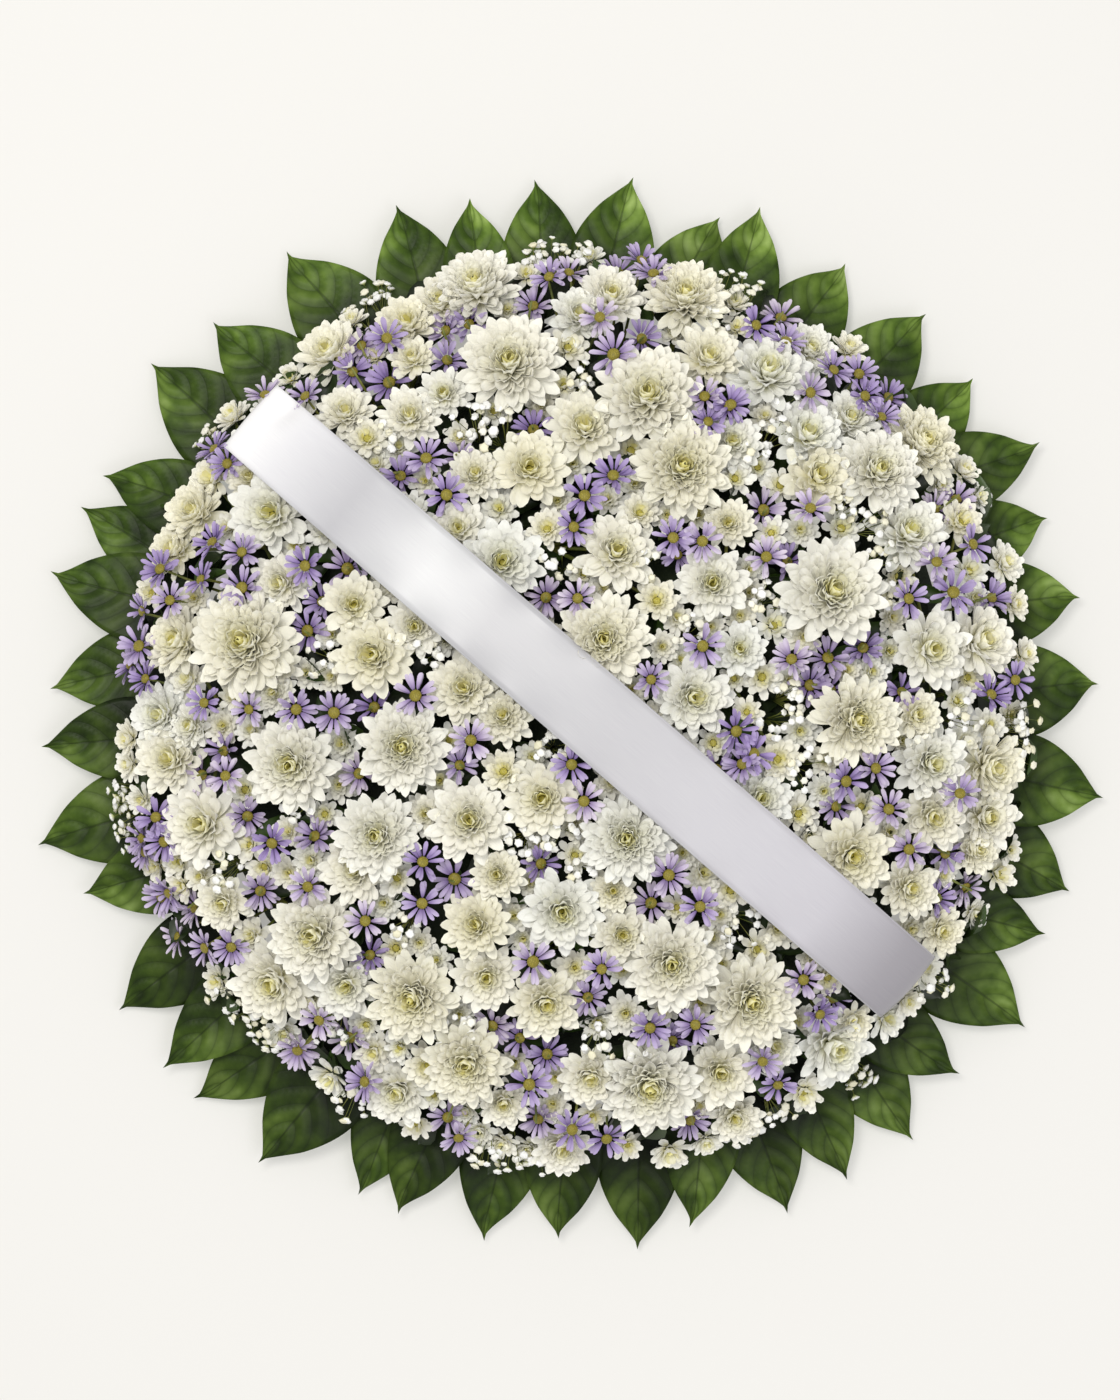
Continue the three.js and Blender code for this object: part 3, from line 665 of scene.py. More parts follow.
# Each cluster's heads, as x, y and radius. The second table's clusters stand for a solid of that name.
DAISIES = {
    "top": [(38, 409, 20), (68, 407, 21), (60, 420, 20), (-30, 401, 19), (-8, 407, 19), (-44, 375, 20),
            (17, 360, 20), (30, 324, 23), (59, 341, 20)],
    "top_left": [(-126, 350, 20), (-103, 356, 20), (-120, 323, 20), (-209, 313, 20), (-176, 303, 23),
                 (-177, 342, 20), (-203, 338, 18), (-43, 257, 21)],
    "ribbon_top": [(-291, 295, 20), (-255, 291, 20), (-342, 245, 20), (-326, 227, 19), (-140, 230, 21),
                   (-164, 215, 20), (-120, 194, 21), (-112, 231, 16)],
    "top_right": [(189, 368, 21), (192, 343, 20), (165, 354, 19), (214, 290, 20), (266, 289, 20),
                  (280, 272, 19), (138, 277, 20), (107, 258, 19)],
    "middle": [(30, 214, 21), (4, 194, 21), (-4, 164, 19), (170, 182, 22), (209, 185, 20), (169, 139, 20),
               (191, 136, 19), (85, 155, 20), (110, 151, 20), (88, 141, 17), (-30, 100, 20), (-2, 100, 19)],
    "right": [(351, 198, 20), (332, 187, 19), (366, 153, 20), (327, 137, 20), (342, 109, 23),
              (302, 101, 20), (384, 106, 20), (297, 17, 19), (381, 16, 20), (404, 27, 19)],
    "left": [(-340, 156, 20), (-310, 145, 19), (-310, 112, 22), (-351, 121, 19), (-390, 131, 20),
             (-378, 101, 19), (-251, 130, 20), (-210, 128, 23), (-236, 100, 19), (-250, 71, 22)],
    "left_rim": [(-410, 60, 22), (-422, 44, 20), (-410, 90, 19), (-404, 29, 18), (-392, -99, 20),
                 (-412, -120, 19), (-386, -124, 20), (-410, -135, 18)],
    "left_middle": [(-149, 14, 22), (-188, 2, 20), (-222, -4, 21), (-256, -1, 20), (-330, -39, 20),
                    (-350, -61, 20), (-324, -60, 19), (-345, 6, 18), (-303, -1, 18), (-201, -59, 20),
                    (-304, -100, 20), (-281, -124, 20), (-244, -114, 20)],
    "middle_low": [(-97, -28, 21), (-108, -50, 18), (-7, -51, 20), (4, -83, 20), (-141, -136, 20),
                   (-114, -156, 23), (-143, -176, 20), (-33, -141, 20), (81, -149, 21), (64, -175, 21),
                   (108, -178, 20), (-41, -229, 22), (19, -235, 19), (7, -263, 19)],
    "right_middle": [(112, 56, 21), (65, 26, 18), (227, 49, 21), (258, 58, 20), (211, 22, 21),
                     (229, 18, 20), (190, 47, 20), (143, -21, 21), (160, -38, 21), (124, -53, 20),
                     (145, -50, 19)],
    "right_low": [(271, -53, 20), (348, -75, 20), (300, -129, 20), (339, -133, 19), (362, -168, 20),
                  (333, -174, 19), (205, -247, 20), (236, -268, 19), (222, -282, 19)],
    "left_low": [(-293, -169, 20), (-249, -163, 20), (-393, -177, 20), (-195, -191, 20), (-193, -224, 19),
                 (-260, -318, 20)],
    "bottom": [(-81, -292, 21), (-56, -301, 19), (-28, -316, 20), (-45, -343, 22), (-122, -379, 20),
               (-111, -400, 19), (-40, -381, 20), (-5, -387, 21), (26, -399, 20), (105, -384, 20),
               (167, -325, 19), (183, -349, 19)],
}
DAISY_SOLIDS = {
    "daisy_spray_01": [(259, 311, 20), (290, 292, 20), (237, 315, 20)],
    "daisy_spray_02": [(113, 287, 20), (139, 279, 19), (118, 263, 18)],
    "daisy_spray_03": [(-385, -174, 20), (-362, -184, 20), (-381, -213, 20), (-351, -223, 20),
                       (-321, -221, 19)],
    "daisy_spray_04": [(-241, -288, 20), (-262, -319, 20), (-215, -306, 23), (-201, -343, 20)],
    "daisy_spray_05": [(244, -66, 21), (281, -90, 20), (236, -90, 19)],
    "daisy_spray_06": [(65, -291, 20), (85, -306, 20), (104, -287, 19)],
}
daisy_clusters = [*DAISIES.values(), *DAISY_SOLIDS.values()]
DAISY_LIFT, DAISY_SINK, LIFTED_SHARE = 17, 9, 0.64  # most stand over the white petals, some under them


def daisy_spots(heads):
    """Daisies at these places, each with a turn and a lift of its own."""
    spots = []
    for x, y, radius in heads:
        lift = DAISY_LIFT if rng.random() < LIFTED_SHARE else -DAISY_SINK
        place, out = on_flowers(x, y, lift + rng.uniform(-2, 2))
        spots.append(head_spot(place, out, radius, DAISY_HABIT))
    return spots


labels = [(f"daisies_{name}", []) for name in DAISIES]
labels += [(name + "_flowers", [name]) for name in DAISY_SOLIDS]
for (label, stands_for), heads in zip(labels, daisy_clusters):
    piece(label, plant(label, daisy_spots(heads), daisy_heads, lilac_petal), stands_for)
print("daisies:", sum(len(heads) for heads in daisy_clusters))

# %% [markdown]
# The ring of leaves
#
# The green ring is a florist's foliage with broad, pointed, leathery leaves. Each leaf is a grid of points
# that follows one outline rule, folded up a little from the midrib, with the blade swelling between the
# side veins as a real one does. The upper and the lower skin are closed round the edge. Three or four
# leaves share a twig that is pushed into the side of the foam.

# %% The shape of a leaf
# Each leaf: its tip's x and y, its bearing in degrees, and its width. Lengths are in millimetres.
LEAVES = [
    (-39, 495, 93, 76), (48, 497, 77, 80), (129, 461, 64, 76), (170, 469, 75, 74), (251, 415, 53, 80),
    (322, 370, 46, 82), (370, 307, 45, 76), (431, 246, 21, 76), (437, 181, 20, 74), (467, 107, 8, 80),
    (485, 25, 9, 88), (490, -82, -13, 88), (459, -170, -30, 84), (435, -213, -13, 70), (418, -297, -35, 88),
    (353, -343, -37, 72), (312, -404, -57, 78), (252, -439, -66, 74), (197, -471, -69, 82),
    (108, -484, -96, 72), (56, -506, -91, 80), (-21, -495, -96, 74), (-92, -497, -102, 78),
    (-171, -471, -116, 76), (-205, -455, -111, 70), (-298, -425, -130, 92), (-359, -368, -146, 80),
    (-388, -336, -138, 76), (-431, -282, -144, 84), (-463, -174, -166, 78), (-508, -125, -164, 90),
    (-502, -34, -174, 78), (-495, 21, -167, 78), (-494, 125, 165, 84), (-466, 188, 147, 74),
    (-444, 220, 159, 76), (-401, 323, 136, 92), (-343, 359, 139, 84), (-276, 426, 130, 92),
    (-170, 471, 104, 82), (-104, 476, 96, 68),
]
FIRST_SPRIG_LEAF = 37
SPRIG_LEAVES = [3, 3, 3, 3, 4, 3, 3, 3, 3, 3, 3, 3, 4]
LEAF_BASE_RADIUS, LEAF_LEVEL, LEAF_STEP = 368, 20, 7
LEAF_FOLD, LEAF_DROOP, LEAF_THICKNESS = 4.0, 9.0, 0.7
DRIP_TIP, DRIP_REACH = 40.0, 5.0  # how bluntly the drawn-out tip starts, and how far it passes the blade
ROWS, COLUMNS = 40, 16
VEINS, VEIN_CROWDING, VEIN_SLANT, VEIN_BOW = 6.5, 1.15, 1.9, 1.2
SWELLING = 2.4  # millimetres between two side veins
LEAF_MARKS = ("along", "across", "under", "tint", "half")


def leaf_frame(i):
    """A leaf's base, the way that it points, its length and its width."""
    tip_x, tip_y, bearing, width = LEAVES[i]
    way = Vector((math.cos(math.radians(bearing)), math.sin(math.radians(bearing))))
    tip = Vector((tip_x, tip_y))
    reach = tip.dot(way)
    length = reach - math.sqrt(reach**2 - tip.length_squared + LEAF_BASE_RADIUS**2)
    step = 2 if i == len(LEAVES) - 1 else i % 2
    return Vector((*(tip - way * length), LEAF_LEVEL + LEAF_STEP * step)), way, length, width


def half_width(u, width):
    """Half the blade's width, this fraction of the way from its base to its drawn-out tip."""
    blade = min(1.0, u * 1.035)
    half = 0.5 * width * max(0.0, math.sin(math.pi * blade**0.8)) ** 0.85
    half *= 1 - 0.35 * max(0.0, (blade - 0.80) / 0.2) ** 1.5
    return max(half, min(0.3 * width * u, DRIP_TIP * (1 - u)))


def leaf_points(i, dice):
    """Rows of points over one leaf, each as (place, along, across)."""
    base, way, length, width = leaf_frame(i)
    sway, roll, curl, hook = [dice.uniform(*span) for span in ((-3, 3), (-2.5, 2.5), (-4, 3), (-4, 4))]
    ripple, phase = dice.uniform(0.6, 1.4), dice.uniform(0, ANY_TURN)
    left = Vector((-way.y, way.x))
    rows = []
    for r in range(ROWS + 1):
        u = 1 - (1 - r / ROWS) ** 1.3
        half = half_width(u, width)
        row = []
        for c in range(COLUMNS + 1):
            v = 2 * c / COLUMNS - 1
            vein = u * VEINS * VEIN_CROWDING - VEIN_SLANT * abs(v) ** VEIN_BOW
            swell = SWELLING * abs(math.sin(math.pi * vein)) * (1 - v**4)
            swell *= min(1.0, 4 * u) * min(1.0, 5 * (1 - u))
            up = LEAF_FOLD * abs(v) ** 0.8 * min(1.0, 3 * (1 - u)) - LEAF_DROOP * u * u + curl * u * u * u
            up += roll * v * u + ripple * math.sin(phase + 9 * u + 2 * v) * abs(v) ** 2
            side = v * half + sway * math.sin(math.pi * u) + hook * max(0.0, (u - 0.85) / 0.15) ** 2
            flat = way * (u * (length + DRIP_REACH)) + left * side
            row.append((base + Vector((flat.x, flat.y, up + swell)), u, v))
        rows.append(row)
    return rows


def leaf_tone_and_painted_light(i):
    """How light a leaf is: paler towards the top of the wreath as painted light, darker towards the bottom as
    painted shade, and by chance.
    """
    return 0.47 + 0.36 * math.sin(math.radians(LEAVES[i][2] + 10)) + 0.15 * math.sin(2.4 * i)


def leaf_skin(i, dice, points, faces, marks):
    """Adds one closed leaf to the lists of points and faces: an upper skin, a lower skin and an edge."""
    rows = leaf_points(i, dice)
    # each leaf's tone: painted light, paler towards the top of the wreath, with some chance
    tone_and_painted_light, painted_shade_side = leaf_tone_and_painted_light(i), math.sin(3.7 * i + 1)
    start = len(points)
    wide = COLUMNS + 1
    for lower in (0, 1):
        for place, u, v in [spot for row in rows for spot in row]:
            points.append(in_frame(place - Vector((0, 0, lower * LEAF_THICKNESS))))
            # the last mark picks the side of the fold that gets painted shade
            marks.append((u, v, lower, tone_and_painted_light, v * painted_shade_side))
    under = start + wide * (ROWS + 1)
    for r in range(ROWS):
        for c in range(COLUMNS):
            a = start + r * wide + c
            faces.append((a, a + wide, a + wide + 1, a + 1))
            a = under + r * wide + c
            faces.append((a, a + 1, a + wide + 1, a + wide))
        a, b = start + r * wide, under + r * wide
        faces.append((a, b, b + wide, a + wide))
        a, b = a + COLUMNS, b + COLUMNS
        faces.append((a, a + wide, b + wide, b))


print("leaves:", len(LEAVES), "on", len(SPRIG_LEAVES), "sprigs")

# %% [markdown]
# The leaf's surface
#
# The skin is waxy and the veins are a little darker than the blade. Each leaf has its own tone, partly by
# chance and partly painted light, paler towards the top of the wreath, and one half of it, on one side of the
# fold, has painted shade. The colour darkens towards the stalk as painted shade from the flowers over it, and
# between the veins the blade is a little lighter as painted light on the swellings.

# %% Leaf material
VEIN_COLOUR, UNDERSIDE = linear("#2C3F10"), linear("#7C9466")


def leaf_material():
    """A leathery evergreen leaf: waxy skin, darker veins, and blotches a few centimetres wide, partly its own
    mottling and partly painted sheen.
    """
    made, tree, shader = material("waxy_evergreen_leaf", 0.42, Specular_IOR_Level=0.16)
    along, across, under, tint, half = [
        add(tree, "ShaderNodeAttribute", {"attribute_name": mark}).outputs["Fac"] for mark in LEAF_MARKS]
    spot = add(tree, "ShaderNodeTexCoord").outputs["Object"]
    # blotches: partly the leaf's own mottling, partly painted sheen in the lightest patches
    mottle_and_painted_sheen = add(tree, "ShaderNodeTexNoise", {"Scale": 30.0, "Detail": 3.0, "Roughness": 0.5, "Vector": spot})
    blade = washes(tree, (mottle_and_painted_sheen, [(0.26, "#31490F"), (0.44, "#5A7628"), (0.58, "#7E9A44"), (0.76, "#A5BE6E")]))

    # How near each point is to the midrib and to a side vein.
    side = add(tree, "ShaderNodeMath", {"operation": "ABSOLUTE", 0: across})
    bowed = add(tree, "ShaderNodeMath", {"operation": "POWER", 0: side, 1: VEIN_BOW})
    forward = add(tree, "ShaderNodeMath", {"operation": "MULTIPLY", 0: along, 1: VEINS * VEIN_CROWDING})
    back = add(tree, "ShaderNodeMath", {"operation": "MULTIPLY", 0: bowed, 1: VEIN_SLANT})
    lines = add(tree, "ShaderNodeMath", {"operation": "SUBTRACT", 0: forward, 1: back})
    turns = add(tree, "ShaderNodeMath", {"operation": "MULTIPLY", 0: lines, 1: math.pi})
    wave = add(tree, "ShaderNodeMath", {"operation": "SINE", 0: turns})
    off_vein = add(tree, "ShaderNodeMath", {"operation": "ABSOLUTE", 0: wave})
    side_vein, midrib = [
        add(tree, "ShaderNodeMapRange", {
            "Value": by, "From Min": near, "From Max": far, "To Min": 1.0, "To Max": 0.0})
        for by, near, far in ((off_vein, 0.0, 0.22), (side, 0.012, 0.05))]
    fine = add(tree, "ShaderNodeMath", {"operation": "MULTIPLY", 0: side_vein, 1: 0.35})
    vein = add(tree, "ShaderNodeMath", {"operation": "MAXIMUM", 0: fine, 1: midrib})

    inked = add(tree, "ShaderNodeMath", {"operation": "MULTIPLY", 0: vein, 1: 0.55})
    veined = add(tree, "ShaderNodeMix", {"data_type": "RGBA", 0: inked, 6: blade, 7: VEIN_COLOUR}).outputs[2]
    # painted shade: one half of each leaf, on one side of the fold, is darker
    fold_painted_shade = add(tree, "ShaderNodeMapRange", {"From Min": -0.12, "From Max": 0.12, "Value": half})
    # painted light and shade over the veined blade: painted shade towards the stalk, each leaf's tone with its
    # painted light, painted shade on one half, painted light between the veins
    painted_light_and_shade = washes(
        tree, (along, [(0.28, "#46523A"), (0.72, "#FFFFFF")]), (tint, [(0.0, "#8F947C"), (1.0, "#FFFFFF")]),
        (fold_painted_shade.outputs[0], [(0.0, "#C2C8AE"), (1.0, "#FFFFFF")]),
        (off_vein, [(0.0, "#CFD5BE"), (1.0, "#FFFFFF")]), over=veined)
    below = add(tree, "ShaderNodeMath", {"operation": "MULTIPLY", 0: under, 1: 0.8})
    colour = add(tree, "ShaderNodeMix", {"data_type": "RGBA", 0: below, 6: painted_light_and_shade, 7: UNDERSIDE}).outputs[2]

    pores = add(tree, "ShaderNodeTexNoise", {"Scale": 700.0, "Detail": 2.0, "Vector": spot})
    sunk = add(tree, "ShaderNodeMath", {"operation": "MULTIPLY", 0: vein, 1: -0.8})
    rough = add(tree, "ShaderNodeMath", {"operation": "MULTIPLY", 0: pores, 1: 0.25})
    relief = add(tree, "ShaderNodeMath", {"operation": "ADD", 0: sunk, 1: rough})
    coat(tree, shader, colour, relief, 0.5, 0.0006)
    return made


evergreen_leaf = leaf_material()
print("leaf material:", evergreen_leaf.name)

# %% Twigs and sprigs
TWIG_LEVEL, FOAM_RADIUS, TWIG_DEPTH, TWIG_REACH = 26, 352, 30, 8
TWIG_RADII, STALK_RADII = (2.2, 2.1, 1.6), (1.5, 1.3, 0.9)
STALK_OVERLAP, STALK_BOW = 9, 1.5  # how far a stalk runs into its blade, and how high it arches
TWIG_MARKS = (0, 0, 0, 0.5, 0)


def tube_skin(path, radii, sides, points, faces, marks=None):
    """Adds a closed round stem along a path to the lists, with the marks of a twig where marks are kept."""
    start = len(points)
    for k, (place, radius) in enumerate(zip(path, radii)):
        ahead = Vector(path[min(k + 1, len(path) - 1)]) - Vector(path[max(k - 1, 0)])
        turn = ahead.to_track_quat("Z", "Y")
        for s in range(sides):
            spoke = turn @ Vector((math.cos(2 * math.pi * s / sides), math.sin(2 * math.pi * s / sides), 0))
            points.append(in_frame(Vector(place) + spoke * radius))
    if marks is not None:
        marks += [TWIG_MARKS] * (sides * len(path))
    for k in range(len(path) - 1):
        a = start + k * sides
        b = a + sides
        faces += [(a + s, a + (s + 1) % sides, b + (s + 1) % sides, b + s) for s in range(sides)]
    faces.append(tuple(start + s for s in reversed(range(sides))))
    faces.append(tuple(start + (len(path) - 1) * sides + s for s in range(sides)))


for i, count in enumerate(SPRIG_LEAVES):
    dice = random.Random(200 + i)
    points, faces, marks = [], [], []
    first = FIRST_SPRIG_LEAF + sum(SPRIG_LEAVES[:i])
    bases = []
    for k in [(first + step) % len(LEAVES) for step in range(count)]:
        leaf_skin(k, dice, points, faces, marks)
        base, way, _, _ = leaf_frame(k)
        bases.append((base, Vector((way.x, way.y, 0))))
    middle = sum((base for base, _ in bases), Vector())
    middle.z = 0
    middle.normalize()
    fork = middle * (FOAM_RADIUS + TWIG_REACH) + Vector((0, 0, TWIG_LEVEL))
    foot = middle * (FOAM_RADIUS - TWIG_DEPTH) + Vector((0, 0, TWIG_LEVEL))
    tube_skin([foot, (foot + fork) / 2, fork], TWIG_RADII, 8, points, faces, marks)
    for base, way in bases:
        into = base + way * STALK_OVERLAP
        bow = (fork + into) / 2 + Vector((0, 0, STALK_BOW))
        tube_skin([fork - middle * 2, bow, into], STALK_RADII, 6, points, faces, marks)
    name = f"leaf_sprig_{i + 1:02d}"
    mesh = plain_mesh(name + "_leaves", points, faces)
    for key, column in zip(LEAF_MARKS, zip(*marks)):
        set_values(mesh, key, column)
    mesh.materials.append(evergreen_leaf)
    piece(name + "_leaves", mesh, [name])
print("leaf triangles on the last sprig:", triangles(mesh))

# %% [markdown]
# The satin sash
#
# A florist's satin ribbon, 75 mm wide, is laid across the flowers from rim to rim. Its ends turn down over
# the rim and are pinned to the side of the foam. It is stiff enough to bridge the hollows between the
# flowers, so it follows the dome in one even curve, with slight waves along its two edges.

# %% The course of the ribbon
RIBBON_WIDTH, RIBBON_LIFT, RIBBON_OFFSET = 75.0, 30.0, 5.0
RIBBON_BEARING = math.radians(-41)
LEFT_END, RIGHT_END = 404.0, 394.0
RIBBON_THICKNESS = 0.9
TURNED_DOWN = [(381, 60), (364, 49), (354.4, 40), (353.4, 26)]  # along, up: in to the side of the foam
CROWN, EDGE_WAVE, LONG_WAVE = 2.2, 0.9, 0.7  # millimetres
DENT_ALONG, DENT_DEPTH, DENT_REACH = -386.0, 8.0, 11  # a finger's dent near the upper end
RIBBON_STEPS, RIBBON_COLUMNS = 210, 14


def ribbon_level(along):
    """How high the middle of the ribbon lies, this far along it from the middle of the wreath."""
    level = math.sqrt(max(0.0, 1 - (along / DOME_RADIUS) ** 2))
    return DOME_RIM + level * DOME_RISE + RIBBON_LIFT


def turned_end(end):
    """The end of the ribbon: over the rim, down, and back in to the side of the foam."""
    level = ribbon_level(end)
    return [(end + 6, level - 8), (end + 6, level - 20), (end - 4, level - 36), *TURNED_DOWN]


course = [(-along, up) for along, up in reversed(turned_end(LEFT_END))]
course += [(along, ribbon_level(along)) for along in np.linspace(-LEFT_END, RIGHT_END, 90)]
course = np.array(course + turned_end(RIGHT_END))
for _ in range(2):  # even steps, then a little smoothing, twice
    lengths = np.r_[0, np.cumsum(np.hypot(*np.diff(course, axis=0).T))]
    steps = np.linspace(0, lengths[-1], RIBBON_STEPS)
    course = np.c_[np.interp(steps, lengths, course[:, 0]), np.interp(steps, lengths, course[:, 1])]
    for _ in range(3):
        course[1:-1] = (course[:-2] + 2 * course[1:-1] + course[2:]) / 4
ribbon_length = float(np.hypot(*np.diff(course, axis=0).T).sum())

cos_b, sin_b = math.cos(RIBBON_BEARING), math.sin(RIBBON_BEARING)
points, along_marks, across_marks = [], [], []
for k, (along, up) in enumerate(course):
    s = k / (len(course) - 1)
    ahead = course[min(k + 1, len(course) - 1)] - course[max(k - 1, 0)]
    ahead /= np.hypot(*ahead)
    flat_part = min(1.0, 12 * s, 12 * (1 - s))
    for c in range(RIBBON_COLUMNS + 1):
        v = 2 * c / RIBBON_COLUMNS - 1
        lift = -CROWN * v * v + flat_part * (
            EDGE_WAVE * abs(v) ** 3 * math.sin(along / 11 + (2.0 if v > 0 else 0.3)) +
            LONG_WAVE * math.sin(along / 53 + 1.3 * v))
        lift -= DENT_DEPTH * math.exp(-(((along - DENT_ALONG) / DENT_REACH) ** 2) - ((v - 0.7) / 0.4) ** 2)
        x = along - ahead[1] * lift
        z = up + ahead[0] * lift
        y = RIBBON_OFFSET + v * RIBBON_WIDTH / 2
        points.append(in_frame((x * cos_b - y * sin_b, x * sin_b + y * cos_b, z)))
        along_marks.append(s * ribbon_length * MM)
        across_marks.append(v)
wide = RIBBON_COLUMNS + 1
starts = [k * wide + c for k in range(len(course) - 1) for c in range(RIBBON_COLUMNS)]
sash_mesh = plain_mesh("satin_sash", points, [(a, a + wide, a + wide + 1, a + 1) for a in starts])
set_values(sash_mesh, "along", along_marks)
set_values(sash_mesh, "across", across_marks)
print("ribbon length", round(ribbon_length), "mm")

# %% [markdown]
# The satin's surface
#
# The cloth has fine threads across it and faint slubs, and a thin band along each edge is blended a quarter of
# the way to pale grey. Along the ribbon its colour is painted light: a painted highlight bright at the upper
# end, and painted shade in soft grey bands towards the lower.

# %% Satin
WEFT_SPACING = 0.0012  # metres
# a thin band along each edge is blended a quarter of the way to this pale grey
EDGE_BAND_COLOUR = linear("#E4E4E9")

satin, tree, shader = material("woven_polyester_satin", 0.33, Sheen_Weight=0.25, Sheen_Roughness=0.4)
along, across = [
    add(tree, "ShaderNodeAttribute", {"attribute_name": mark}).outputs["Fac"] for mark in ("along", "across")]
stretched = [add(tree, "ShaderNodeMath", {"operation": "MULTIPLY", 0: way, 1: times})
             for way, times in ((along, 12.0), (across, 30.0))]
cloth = add(tree, "ShaderNodeCombineXYZ", {0: stretched[0], 1: stretched[1]})
slub = add(tree, "ShaderNodeTexNoise", {"Scale": 3.0, "Detail": 3.0, "Vector": cloth})
part = add(tree, "ShaderNodeMath", {"operation": "DIVIDE", 0: along, 1: ribbon_length * MM})
# painted light along the ribbon: a painted highlight near white at the upper end, painted shade in grey bands
# further down, with the slubs over it
tone_and_painted_light = washes(
    tree,
    (part, [(0.0, "#FEFEFE"), (0.12, "#FDFDFE"), (0.165, "#E6E6E9"), (0.24, "#BEBEC2"), (0.33, "#D3D4D5"),
            (0.40, "#B9B9BC"), (0.46, "#BEBEC1"), (0.62, "#C6C5C9"), (0.78, "#C5C3C9"), (0.86, "#A29FA5"),
            (0.95, "#8F8C92")]),
    (slub, [(0.3, "#F6F5F8"), (0.7, "#FFFFFF")]))
side = add(tree, "ShaderNodeMath", {"operation": "ABSOLUTE", 0: across})
edge = add(tree, "ShaderNodeMapRange", {"From Min": 0.955, "From Max": 0.975, "Value": side})
faint = add(tree, "ShaderNodeMath", {"operation": "MULTIPLY", 0: edge, 1: 0.25})
edged = add(tree, "ShaderNodeMix", {"data_type": "RGBA", 0: faint, 6: tone_and_painted_light, 7: EDGE_BAND_COLOUR}).outputs[2]
threads = add(tree, "ShaderNodeMath", {"operation": "MULTIPLY", 0: along, 1: 2 * math.pi / WEFT_SPACING})
weft = add(tree, "ShaderNodeMath", {"operation": "SINE", 0: threads})
fine = add(tree, "ShaderNodeMath", {"operation": "MULTIPLY", 0: weft, 1: 0.3})
coat(tree, shader, edged, add(tree, "ShaderNodeMath", {"operation": "ADD", 0: fine, 1: slub}), 0.12, 0.0002)
sash_mesh.materials.append(satin)
sash = piece("satin_sash", sash_mesh, ["ribbon"])
wall = sash.modifiers.new("cloth_thickness", "SOLIDIFY")
wall.thickness = RIBBON_THICKNESS * MM
wall.offset = 0
print("satin nodes:", len(tree.nodes))

# %% [markdown]
# Small flowers that fill the gaps
#
# A florist closes the gaps between the large heads with small buttons from the same sprays, set deeper.
# A seeded dart board finds the gaps: a random place is kept where it has room, and the room gives the size.
# The buttons have fewer and plainer petals, because they are seen only in part.

# %% Button chrysanthemums between the heads
# Each sprig of gypsophila, which the buttons leave room for: x, y, how far it spreads, its blossoms.
RIM_SPRIGS = [
    (-196, 389, 22, 14), (-210, 380, 14, 8), (-48, 423, 16, 12), (-27, 428, 16, 12), (-6, 424, 16, 10),
    (136, 394, 16, 10), (158, 390, 18, 12), (-432, -78, 16, 10), (-430, -97, 18, 12), (-424, -122, 16, 10),
    (-330, -272, 18, 12), (-307, -286, 20, 14), (-292, -306, 18, 12), (-88, -414, 16, 10),
    (-66, -420, 18, 12), (-44, -424, 16, 10), (-216, -366, 20, 14), (416, -8, 14, 10), (414, -21, 16, 12),
    (410, -44, 14, 10), (328, -258, 18, 12), (264, -347, 20, 12), (150, -398, 16, 10), (165, -394, 16, 10),
    (186, -384, 16, 10), (-352, 252, 14, 8),
]
INNER_SPRIGS = [
    (-99, 263, 20, 12), (-72, 253, 22, 14), (1, 304, 16, 10), (131, 360, 16, 10), (-17, 134, 18, 12),
    (179, 254, 16, 10), (160, 236, 14, 8), (247, 186, 18, 12), (265, 172, 18, 12), (172, 98, 20, 14),
    (100, 71, 18, 12), (279, 99, 16, 10), (274, 136, 18, 12), (190, 8, 20, 14), (181, -10, 20, 14),
    (208, -55, 20, 14), (-235, 44, 18, 12), (-134, 53, 14, 8), (-26, -37, 18, 12), (-53, -122, 18, 12),
    (-17, -118, 18, 12), (-253, -82, 20, 12), (-330, -148, 20, 14), (-162, -200, 18, 12),
    (-127, -288, 18, 12), (19, -306, 18, 12), (56, -311, 16, 10), (146, -200, 20, 14), (354, -10, 18, 12),
    (101, -218, 14, 10), (-99, -297, 18, 12), (-231, -297, 18, 12), (-290, 90, 16, 10), (-330, 90, 16, 10),
    (60, 130, 14, 8), (190, 290, 14, 8), (-180, 250, 16, 10), (230, -190, 18, 12), (0, -150, 14, 8),
    (290, -230, 16, 10),
]
taken = [*SINGLE_BLOOMS, *[head for _, heads in WHITE_SPRAYS for head in heads]]
taken += [(x, y, 0.8 * r) for heads in daisy_clusters for x, y, r in heads]
taken += [(x, y, 0.7 * spread) for x, y, spread, _ in RIM_SPRIGS + INNER_SPRIGS]
BUTTON_PETAL = [(0.30, 0.34), (0.68, 0.50), (0.93, 0.34)]
BUTTON_CURLS = [(0.34, 0.20), (0.26, 0.17), (0.14, 0.12)]
button_petals = shelf("button_petals", [
    petal_shape(f"button_petal_{i}", BUTTON_PETAL, curl, cup) for i, (curl, cup) in enumerate(BUTTON_CURLS)])
button_heads = shelf("button_heads", heads_of("button", 71, button_petals, {"Kinds": 3, "Inner width": 0.26}, [
    (40, 0.36, 0.06), (38, 0.37, 0.07), (42, 0.35, 0.06), (36, 0.38, 0.08), (26, 0.40, 0.16)]))

